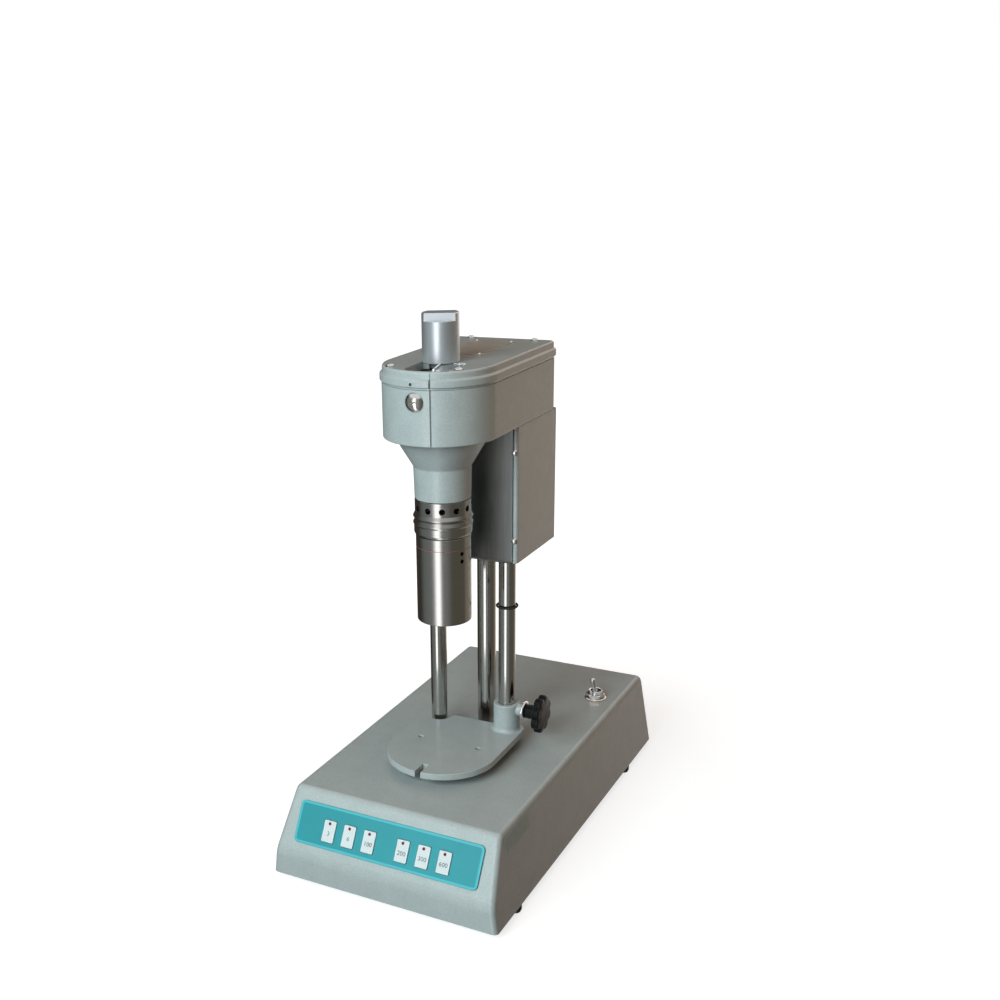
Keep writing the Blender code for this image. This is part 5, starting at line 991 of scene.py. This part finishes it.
def make_clamp():
    low = CLAMP_PAD_END - COLUMN_X + SEAT
    top = low + CLAMP_WASHER_THICKNESS
    hole = CLAMP_SCREW_RADIUS + SLIDE
    washer = lathe("clamp_cup_washer", [
        (hole, top), (CLAMP_WASHER_RADIUS, top, 0.0020), (CLAMP_WASHER_RADIUS, low, 0.0002), (hole, low),
    ], steps=96, closed=True)
    piece(moved(washer, CLAMP_AXIS), "stage", "bright_plate", "clamp_washer")
    shank_low = top + SEAT
    disc_low = shank_low + KNOB_SHANK_LENGTH
    disc_top = disc_low + KNOB_THICKNESS
    tip = COLUMN_RADIUS + SEAT
    stud_top = disc_low + KNOB_BORE_DEPTH
    stud = lathe("clamp_stud", [
        (0, stud_top), (CLAMP_SCREW_RADIUS, stud_top), (CLAMP_SCREW_RADIUS, tip + 0.0010), (0.0017, tip),
        (0, tip),
    ], steps=48)
    piece(moved(stud, CLAMP_AXIS), "clamp", "bright_plate", "clamp_screw")
    rim = edge_stations(disc_low, disc_top - KNOB_CROWN, KNOB_EDGE, 6)
    stations = [
        (KNOB_RADIUS * 0.55, 1.0, disc_low + 0.0002), (0.0040, 0.4, disc_low),
        *((inset, 0.0, z) for inset, z in rim),
        (0.0035, 0.3, disc_top - 0.0002), (0.0070, 0.8, disc_top - 0.00005), (0.0110, 1.0, disc_top),
    ]
    knob = loft("star_knob", [(knob_ring(shrink, roundness), z) for shrink, roundness, z in stations])
    flare = KNOB_SHANK_RADIUS + KNOB_HUB_FLARE
    shank = lathe("shank", [
        (0, shank_low), (KNOB_SHANK_RADIUS, shank_low, 0.0004), (KNOB_SHANK_RADIUS, disc_low - 0.0008),
        (flare, disc_low + 0.0004), (flare, disc_low + 0.002), (0, disc_low + 0.002),
    ], steps=96)
    join(knob, shank)
    carve(knob, pin("bore", hole, shank_low - SHEET, stud_top + SEAT))
    piece(moved(knob, CLAMP_AXIS), "clamp", "black_plastic", "clamp_knob", 30)


# Head


def head_outline(inset):
    radius = HEAD_RADIUS - inset
    rear = HEAD_REAR - inset
    corner = max(HEAD_REAR_CORNER - inset, 0.0008)
    return (
        arc(0, AXIS_Y, radius, 180, 360, 96)
        + arc(radius - corner, rear - corner, corner, 0, 90, 10)
        + arc(-radius + corner, rear - corner, corner, 90, 180, 10)
    )


def seam(low, high, proud):
    surface = AXIS_Y - math.sqrt((HEAD_RADIUS + proud) ** 2 - SEAM_X ** 2)
    reach = 2 * HEAD_WALL
    middle = (SEAM_X, surface + SEAM_DEPTH - reach / 2, (low + high) / 2)
    return block("seam", (SEAM_WIDTH, reach, high - low), middle)


def make_head():
    floor = HEAD_BOTTOM + HEAD_FLOOR
    rings = [
        (head_outline(HEAD_EDGE * (1 - math.sin(a))), HEAD_BOTTOM + HEAD_EDGE * (1 - math.cos(a)))
        for a in quarter_turn(5)
    ]
    rings += [(head_outline(0), HEAD_TOP - 0.0003), (head_outline(0.0003), HEAD_TOP)]
    body = loft("head_casting", rings)
    hollow = loft("hollow", [(head_outline(HEAD_WALL), floor), (head_outline(HEAD_WALL), HEAD_TOP + SHEET)])
    neck = lathe("neck", [
        (0, HEAD_BOTTOM + 0.0035), (CONE_TOP_RADIUS, HEAD_BOTTOM + 0.0035), (CONE_TOP_RADIUS, HEAD_BOTTOM),
        (NECK_TOP_RADIUS, CONE_BOTTOM, 0.0030), (NECK_BOTTOM_RADIUS, NECK_BOTTOM, 0.0005),
        (SPIGOT_RADIUS, NECK_BOTTOM), (SPIGOT_RADIUS, NECK_BOTTOM - SPIGOT_LENGTH),
        (0, NECK_BOTTOM - SPIGOT_LENGTH),
    ], (0, AXIS_Y), ROUND)
    join(body, neck)
    bore = pin("bore", HEAD_BORE_RADIUS, NECK_BOTTOM - 0.01, HEAD_TOP, (0, AXIS_Y), steps=96)
    front = AXIS_Y - HEAD_RADIUS
    screw_hole = pin("hole", 0.0032, front - SHEET, front + 2 * HEAD_WALL, (0, FRONT_SCREW_HEIGHT), "Y")
    carve(body, hollow, bore, seam(HEAD_BOTTOM - SHEET, HEAD_TOP + SHEET, 0), screw_hole)
    piece(body, "root", "hammered_paint", "head_body", 30)
    axis = placed(0, front - SEAT, FRONT_SCREW_HEIGHT, math.pi / 2, "X")
    screw = dome_screw("front_dome_screw", FRONT_SCREW, axis, 2, 25, slot_share=0.15, cross_share=0.85)
    shank = moved(pin("shank", FRONT_SHANK_RADIUS, -FRONT_SHANK_LENGTH, 0.0005), axis)
    piece(join(screw, shank), "root", "bright_plate", "front_screw")


def well_outline():
    radius = HEAD_RADIUS - WELL_RIM
    right = math.degrees(math.acos(WELL_RIGHT / radius))
    corner_x = WELL_LEFT + WELL_CORNER
    corner_y = AXIS_Y - math.sqrt(radius ** 2 - corner_x ** 2) + WELL_CORNER
    left = math.degrees(math.acos(corner_x / radius))
    corner = arc(corner_x, corner_y, WELL_CORNER, 180, 269, 20)
    front = arc(0, AXIS_Y, radius, -left, -right, 32)
    rear = [(WELL_RIGHT, WELL_REAR), (WELL_LEFT + 0.002, WELL_REAR), (WELL_LEFT, WELL_REAR - 0.002)]
    return corner + front + rear


def window_corners(grow):
    radius = HEAD_RADIUS - WELL_RIM + WINDOW_LEDGE / 2 + grow
    right = WELL_RIGHT + WINDOW_LEDGE + grow
    rear = AXIS_Y - CAP_RADIUS * 0.35 + grow
    left_front = WINDOW_EDGE_FRONT - grow
    left_rear = WINDOW_EDGE_REAR - grow
    start = -math.degrees(math.acos(left_front / radius))
    end = -math.degrees(math.acos(right / radius))
    return arc(0, AXIS_Y, radius, start, end, 20) + [(right, rear), (left_rear, rear)]


def make_lid():
    bead_low = LID_BOTTOM + 0.0014
    bead_top = bead_low + 0.0062
    side = softened([
        (0.0002, LID_BOTTOM), (0.0, LID_BOTTOM + 0.0010, 0.0002), (-LID_BEAD, bead_low + 0.0004, 0.0005),
        (-LID_BEAD, bead_top - LID_BEAD, 0.0008), (LID_SHOULDER, bead_top, 0.0004),
        (LID_SHOULDER, LID_TOP, 0.0018), (0.0060, LID_TOP),
    ], 6)
    lid = loft("lid_casting", [(head_outline(inset), z) for inset, z in side])
    ceiling = LID_TOP - LID_PLATE
    hollow = loft("hollow", [(head_outline(HEAD_WALL), z) for z in (LID_BOTTOM - SHEET, ceiling)])
    well = slab("well", [well_outline()], 0, 0, stations=[
        (0, ceiling - SHEET), (0, LID_TOP - 0.0005), (-0.0001, LID_TOP - 0.0002), (-0.0006, LID_TOP + 0.0003),
    ])
    hole = pin("hole", CAP_HOLE_RADIUS, ceiling - SHEET, LID_TOP + SHEET, (0, AXIS_Y))
    ledge = slab("ledge", [window_corners(SLIDE)], LID_TOP - WINDOW_THICKNESS - SEAT, LID_TOP + SHEET)
    front = AXIS_Y - HEAD_RADIUS
    sight = pin("hole", SIGHT_HOLE_RADIUS, front - SHEET, front + 0.0022, SIGHT_HOLE, "Y", 32)
    carve(lid, hollow, well, hole, sight, seam(LID_BOTTOM - SHEET, LID_TOP + SHEET, LID_SHOULDER / 2), ledge)
    piece(lid, "root", "hammered_paint", "head_lid", 30)
    glass = slab("dial_glass", [window_corners(0)], LID_TOP - WINDOW_THICKNESS, LID_TOP, 0.0002)
    piece(glass, "root", "window_glass", "dial_window")
    first, last = (Vector(end) for end in WINDOW_BAR_ENDS)
    along, middle = last - first, (first + last) / 2
    wide, tall = WINDOW_BAR_SECTION
    bar = block("window_bar", (wide, along.length, tall), (0, 0, 0), 0.0003)
    at = placed(middle.x, middle.y, LID_TOP + 0.0003, -math.atan2(along.x, along.y))
    piece(moved(bar, at), "root", "bright_plate")
    for label, (x, y, radius) in LID_SCREWS.items():
        wide, top, low = radius + 0.0005, LID_TOP + 0.0002, LID_TOP - 0.0004
        rim = [(0, top), (wide, top, 0.0001), (wide, low), (0, low)]
        # A black disc a little wider than each screw head, showing round it as a painted dark ring of shade
        piece(lathe(f"lid_screw_shade_ring_{label}", rim, (x, y), 48), "root", "painted_recess_shade")
        fit_screw(f"lid_screw_{label}", (radius, LID_SCREW_RISE), placed(x, y, top))


def make_cap():
    low = LID_TOP + SEAT
    inside = CAP_RADIUS - CAP_WALL
    ceiling = CAP_TOP - CAP_CROWN
    cap = lathe("spring_cover", [
        (0, CAP_TOP), (CAP_RADIUS, CAP_TOP, 0.0012), (CAP_RADIUS, low, 0.0003), (inside, low),
        (inside, ceiling), (0, ceiling),
    ], steps=160)
    cutters = []
    for side in (-1, 1):
        size = (4 * CAP_RADIUS, CAP_RADIUS, 2 * CAP_FLAT_HEIGHT)
        centre = (0, side * (CAP_FLATS / 2 + CAP_RADIUS / 2), CAP_TOP)
        cutters.append(block("flat", size, centre))
    carve(cap, *cutters)
    piece(moved(cap, placed(0, AXIS_Y, 0, CAP_TURN)), "root", "satin_aluminium", "spring_cap", 30)


def make_dial():
    bore = SHAFT_RADIUS + SLIDE
    low = DIAL_TOP - DIAL_THICKNESS
    disc = lathe("dial_plate", [
        (bore, DIAL_TOP), (DIAL_RADIUS, DIAL_TOP, 0.0003), (DIAL_RADIUS, low, 0.0003), (DIAL_HUB_RADIUS, low),
        (DIAL_HUB_RADIUS, low - DIAL_HUB_HEIGHT, 0.0004), (bore, low - DIAL_HUB_HEIGHT),
    ], (0, AXIS_Y), 160, True)
    piece(disc, "bob_assembly", "dial_enamel", "dial_disc")
    bm = bmesh.new()
    for mark in range(DIAL_SPAN + 1):
        width, length = next(size for step, size in DIAL_MARKS.items() if mark % step == 0)
        made = bmesh.ops.create_cube(bm, size=1.0)["verts"]
        bmesh.ops.scale(bm, vec=(width, length, DIAL_INK), verts=made)
        bmesh.ops.translate(bm, vec=(0, DIAL_RADIUS - DIAL_MARK_INSET - length / 2, DIAL_TOP), verts=made)
        turn = Matrix.Rotation(math.radians(DIAL_FIRST_TURN - mark), 3, "Z")
        bmesh.ops.rotate(bm, matrix=turn, verts=made)
    bmesh.ops.translate(bm, vec=(0, AXIS_Y, 0), verts=bm.verts)
    piece(object_of("dial_marks", bm), "bob_assembly", "dial_ink")
    numbers = []
    for mark in range(0, DIAL_SPAN + 1, DIAL_NUMBER_STEP):
        spoke = placed(0, AXIS_Y, DIAL_TOP, math.radians(DIAL_FIRST_TURN - mark))
        at = spoke @ placed(0, DIAL_RADIUS - DIAL_NUMBER_INSET, 0)
        numbers.append(text_mesh(f"dial_number_{mark}", str(mark), DIAL_NUMBER_SIZE, DIAL_INK, at))
    piece(gathered(*numbers), "bob_assembly", "dial_ink")


# Rotor


def drills(radius, inner, outer, height, count, turn):
    """Round cutters that point out from the spindle's axis, evenly spaced, turned from the front."""
    made = []
    for i in range(count):
        drill = pin("drill", radius, inner - 0.002, outer + 0.002, (0, height), "X", 32)
        made.append(moved(drill, placed(0, AXIS_Y, 0, turn + 2 * math.pi * i / count - math.pi / 2)))
    return made


def make_guard():
    low = GUARD_TOP - GUARD_HEIGHT
    thread = SPIGOT_RADIUS + SLIDE
    band_low = GUARD_TOP - GUARD_BAND_HEIGHT
    rib, groove = GUARD_RIB_RADIUS, GUARD_RIB_RADIUS - GUARD_GROOVE_DEPTH
    profile = [
        (thread, GUARD_TOP), (GUARD_BAND_RADIUS, GUARD_TOP, 0.0003), (GUARD_BAND_RADIUS, band_low, 0.0004),
        (rib, band_low - 0.0026, 0.0005), (rib, band_low - 0.0031, 0.0002),
        (groove, band_low - 0.0049, 0.0003), (rib, band_low - 0.0076, 0.0005),
        (rib, band_low - 0.0082, 0.0002),
        (GUARD_LOWER_RADIUS, band_low - 0.0095, 0.0004), (GUARD_LOWER_RADIUS, low + 0.0018, 0.0008),
        (GUARD_BAND_RADIUS, low, 0.0003), (GUARD_BORE, low, 0.0002), (GUARD_BORE, band_low - 0.0027),
        (thread, band_low),
    ]
    guard = lathe("guard_shell", profile, (0, AXIS_Y), ROUND, True, 5)
    height = GUARD_TOP - GUARD_HOLE_DROP
    carve(guard, *drills(
        GUARD_HOLE_RADIUS, SPIGOT_RADIUS, GUARD_BAND_RADIUS, height, GUARD_HOLES, GUARD_HOLE_TURN))
    piece(guard, "root", "sleeve_steel", "splash_guard", 30)


def make_rotor():
    thread = HUB_RADIUS + SLIDE
    thread_low = ROTOR_NECK_TOP - ROTOR_THREAD_DEPTH
    sleeve = lathe("sleeve_shell", [
        (thread, ROTOR_NECK_TOP), (ROTOR_NECK_RADIUS, ROTOR_NECK_TOP, 0.0003),
        (ROTOR_NECK_RADIUS, ROTOR_SHOULDER), (ROTOR_RADIUS, ROTOR_SHOULDER, 0.0006),
        (ROTOR_RADIUS, ROTOR_BOTTOM, 0.0008), (ROTOR_BORE, ROTOR_BOTTOM, 0.0003), (ROTOR_BORE, thread_low),
        (thread, thread_low),
    ], (0, AXIS_Y), 160, True)
    cutters = []
    for rise in ROTOR_HOLE_RISES:
        height = ROTOR_BOTTOM + rise
        cutters += drills(ROTOR_HOLE_RADIUS, ROTOR_BORE, ROTOR_RADIUS, height, 3, ROTOR_HOLE_TURN)
    carve(sleeve, *cutters)
    piece(sleeve, "rotor", "sleeve_steel", "rotor_sleeve", 30)
    z = ROTOR_BOTTOM + ROTOR_LINE_RISE
    high, low = z + ROTOR_LINE_HALF, z - ROTOR_LINE_HALF
    inside, outside = ROTOR_RADIUS - 0.0002, ROTOR_RADIUS + 0.00003
    line = lathe("sleeve_line", [(inside, high), (outside, high), (outside, low), (inside, low)],
                 (0, AXIS_Y), 160, True)
    piece(line, "rotor", "line_red")
    top = BOB_BOTTOM + BOB_LENGTH
    bob = lathe("bob_turned", [
        (0, top + BOB_TAPER), (BOB_NECK_RADIUS, top + BOB_TAPER, 0.0004), (BOB_RADIUS, top, 0.0003),
        (BOB_RADIUS, BOB_BOTTOM, 0.0002), (BOB_RADIUS - 0.0020, BOB_BOTTOM),
        (BOB_RADIUS - 0.0030, BOB_BOTTOM + 0.0010), (0, BOB_BOTTOM + 0.0010),
    ], (0, AXIS_Y), 128)
    piece(bob, "bob_assembly", "sleeve_steel", "bob")


# Motor box


def make_motor_box():
    right, front, rear = BOX_HALF_WIDTH, BOX_FRONT, BOX_REAR
    lip = right - BOX_FLANGE
    path = softened([
        (lip, front), (right, front, BOX_CORNER * 0.8), (right, rear, BOX_CORNER), (-right, rear, BOX_CORNER),
        (-right, front, BOX_CORNER * 0.8), (-lip, front),
    ], 8)
    cover = bent_sheet("cover_sheet", path, BOX_BOTTOM, BOX_TOP, BOX_SHEET)
    piece(cover, "root", "hammered_paint", "motor_cover", 25)
    half = lip - SEAT
    end = rear - BOX_SHEET - SEAT
    path = softened([(BOX_TOP, front), (BOX_BOTTOM, front, BOX_CORNER * 0.8), (BOX_BOTTOM, end)], 8)
    panel = bent_sheet("front_panel_sheet", path, -half, half, BOX_SHEET)
    moved(panel, Matrix(((0, 0, 1, 0), (0, 1, 0, 0), (1, 0, 0, 0), (0, 0, 0, 1))))
    holes = [pin("hole", radius + SLIDE, BOX_BOTTOM - 0.002, BOX_BOTTOM + 0.003, (x, y), steps=96)
             for x, y, radius in COLUMNS.values()]
    carve(panel, *holes)
    piece(panel, "root", "brushed_steel", "motor_panel", 25)
    for side, hand in ((-1, "left"), (1, "right")):
        for level, z in BOX_SCREW_LEVELS.items():
            for face, y, lean in (("front", front, math.pi / 2), ("rear", rear, -math.pi / 2)):
                x, size, turn = BOX_SCREWS[face]
                at = placed(side * x, y, z, lean, "X")
                fit_screw(f"box_screw_{face}_{hand}_{level}", size, at, turn=turn, slot_share=0.16)


def dress_cad_nodes():
    """Gives every CAD node that still shows a procedural finish."""
    for name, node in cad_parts.items():
        look = NODE_FINISHES.get(name, "bright_plate")
        node.data.materials.clear()
        node.data.materials.append(FINISHES[look])


# Studio

FILL = 0.14
FILL_COLOUR = (1.0, 0.86, 0.72, 1)
ROOM_STRENGTH = 2.5
CEILING = (0.30, 0.31, 0.315, 1)
CEILING_RISE = (0.50, 0.68)
PINKISH = (0.48, 0.44, 0.41, 1)
DARK = (0.024, 0.020, 0.017, 1)
GREENISH = (0.078, 0.090, 0.086, 1)
WHITE = (1.0, 1.0, 1.0, 1)
SOFT = (0.30, 0.31, 0.32, 1)
GREY = (0.100, 0.104, 0.104, 1)
OLIVE = (0.050, 0.047, 0.038, 1)
TAN = (0.118, 0.100, 0.080, 1)
# Bearing in degrees from the front, to the right, and what stands there
ROOM_BANDS = [
    (-180, PINKISH), (-172, PINKISH), (-165, DARK), (-88, DARK), (-62, GREENISH), (-22, GREY), (-13, SOFT),
    (-5, WHITE), (9, WHITE), (16, GREY), (38, GREY), (60, OLIVE), (122, OLIVE), (130, TAN), (154, TAN),
    (164, PINKISH), (180, PINKISH),
]
# How far out the glow that only the camera sees rises, and from what to what. The glow is painted light on the
# floor: further out it washes the floor's shadow away, and nearer the instrument, where it is weaker, the
# floor keeps a grey painted shade along with its real shadow
FLOOR_REACH = (0.22, 0.60)
FLOOR_GLOW = (0.76, 1.05)
# What the camera sees of the floor's paper beyond what lights the instrument's underside, and the latter
FLOOR_PAPER = (0.26, 0.12)
# Bearing from the front to the right, elevation and roll, in degrees
CAMERA_ANGLES = (31.11, 19.74, -2.39)
CAMERA_PLACE = (0.40019, -0.85958, 0.53642)
CAMERA_LENS = 45.29
CAMERA_SHIFT = (0.15, 0.09)


def seen_directly(tree):
    """1 for rays from the camera, also through glass, and 0 for light and mirror images."""
    path = node_of(tree, "LightPath").outputs
    return math_node(tree, "MAXIMUM", path["Is Camera Ray"], path["Is Transmission Ray"])


def mixed(tree, share, first, second):
    """The first shader passing into the second as share grows."""
    node = tree.nodes.new("ShaderNodeMixShader")
    for socket, value in zip(node.inputs, (share, first, second)):
        feed(tree, socket, value)
    return node.outputs["Shader"]


def make_world():
    """A white background, a dim even fill, and bright and dark bands that show only in mirror images."""
    world = bpy.data.worlds.new("studio")
    bpy.context.scene.world = world
    world.use_nodes = True
    tree = world.node_tree
    tree.nodes.clear()
    ray = node_of(tree, "SeparateXYZ", Vector=node_of(tree, "TexCoord").outputs["Generated"]).outputs
    bearing = math_node(tree, "ARCTAN2", ray["X"], math_node(tree, "MULTIPLY", ray["Y"], -1))
    share = math_node(tree, "ADD", math_node(tree, "DIVIDE", bearing, 2 * math.pi), 0.5)
    ramp = node_of(tree, "ValToRGB", Fac=share)
    elements = ramp.color_ramp.elements
    for element, (_, colour) in zip(elements, (ROOM_BANDS[0], ROOM_BANDS[-1])):
        element.color = colour
    for degrees, colour in ROOM_BANDS[1:-1]:
        elements.new(degrees / 360 + 0.5).color = colour
    walls = tree.nodes.new("ShaderNodeMix")
    walls.data_type = "RGBA"
    feed(tree, walls.inputs["Factor"], ranged(tree, ray["Z"], *CEILING_RISE, 0.0, 1.0))
    feed(tree, walls.inputs["A"], ramp.outputs["Color"])
    feed(tree, walls.inputs["B"], CEILING)
    fill = node_of(tree, "Background", Color=FILL_COLOUR, Strength=FILL)
    room = node_of(tree, "Background", Color=walls.outputs["Result"], Strength=ROOM_STRENGTH)
    white = node_of(tree, "Background", Color=WHITE)
    glossy = node_of(tree, "LightPath").outputs["Is Glossy Ray"]
    mirror = mixed(tree, glossy, fill.outputs["Background"], room.outputs["Background"])
    surface = mixed(tree, seen_directly(tree), mirror, white.outputs["Background"])
    node_of(tree, "OutputWorld", Surface=surface)


def make_floor():
    bm = bmesh.new()
    bmesh.ops.create_grid(bm, x_segments=1, y_segments=1, size=6.0)
    floor = object_of("floor", bm)
    material = bpy.data.materials.new("floor")
    material.use_nodes = True
    tree = material.node_tree
    tree.nodes.clear()
    distance = tree.nodes.new("ShaderNodeVectorMath")
    distance.operation = "LENGTH"
    feed(tree, distance.inputs[0], node_of(tree, "TexCoord").outputs["Object"])
    glow = ranged(tree, distance.outputs["Value"], *FLOOR_REACH, *FLOOR_GLOW)
    seen = seen_directly(tree)
    light = node_of(tree, "Emission", Color=WHITE, Strength=math_node(tree, "MULTIPLY", seen, glow))
    paper = node_of(tree, "BsdfDiffuse", Color=math_node(tree, "MULTIPLY_ADD", seen, *FLOOR_PAPER))
    both = tree.nodes.new("ShaderNodeAddShader")
    feed(tree, both.inputs[0], paper.outputs["BSDF"])
    feed(tree, both.inputs[1], light.outputs["Emission"])
    node_of(tree, "OutputMaterial", Surface=both.outputs["Shader"])
    floor.data.materials.append(material)
    floor.visible_glossy = False


def outward(bearing, elevation):
    """The direction out from the instrument, with the bearing from the front, to the right, in degrees."""
    a, e = math.radians(bearing), math.radians(elevation)
    return Vector((math.sin(a) * math.cos(e), -math.cos(a) * math.cos(e), math.sin(e)))


def soft_light(name, bearing, elevation, distance, size, watts, colour, aim=0.2, spread=180):
    """A rectangular lamp aimed at the instrument's axis, at the height aim, and left out of mirror images."""
    data = bpy.data.lights.new(name, "AREA")
    data.shape = "RECTANGLE"
    data.size, data.size_y = size
    data.energy = watts
    data.color = colour
    data.spread = math.radians(spread)
    lamp = bpy.data.objects.new(name, data)
    bpy.context.scene.collection.objects.link(lamp)
    lamp.visible_glossy = False
    out = outward(bearing, elevation)
    lamp.location = Vector((0, 0, aim)) + out * distance
    lamp.rotation_euler = (-out).to_track_quat("-Z", "Y").to_euler()


def make_camera():
    """The camera that fits the photograph."""
    bearing, elevation, roll = CAMERA_ANGLES
    back = outward(bearing, elevation)
    level = Vector((math.cos(math.radians(bearing)), math.sin(math.radians(bearing)), 0))
    upright = back.cross(level)
    lean = math.radians(roll)
    right = level * math.cos(lean) + upright * math.sin(lean)
    up = upright * math.cos(lean) - level * math.sin(lean)
    data = bpy.data.cameras.new("photo_camera")
    data.sensor_width = 36.0
    data.lens = CAMERA_LENS
    data.shift_x, data.shift_y = CAMERA_SHIFT
    data.clip_start = 0.01
    data.clip_end = 50.0
    camera = bpy.data.objects.new("photo_camera", data)
    bpy.context.scene.collection.objects.link(camera)
    turn = Matrix((right, up, back)).transposed().to_4x4()
    camera.matrix_world = Matrix.Translation(CAMERA_PLACE) @ turn
    bpy.context.scene.camera = camera


make_case()
make_feet()
make_keypad()
make_toggle()
make_rear_panel()
make_rear_fittings()
make_labels()
make_columns()
make_stage()
make_clamp()
make_head()
make_lid()
make_cap()
make_dial()
make_guard()
make_rotor()
make_motor_box()
dress_cad_nodes()
make_world()
make_floor()
soft_light("key", -10, 25, 1.6, (1.1, 0.9), 36.5, (0.79, 0.95, 0.985))
soft_light("overhead", 150, 84, 1.6, (1.2, 1.2), 5.0, (1.0, 0.66, 0.48))
soft_light("right_warm", 96, 10, 0.8, (0.40, 0.30), 0.20, (1.0, 0.70, 0.48), aim=0.36, spread=70)
make_camera()
bpy.context.scene.view_settings.view_transform = "Standard"
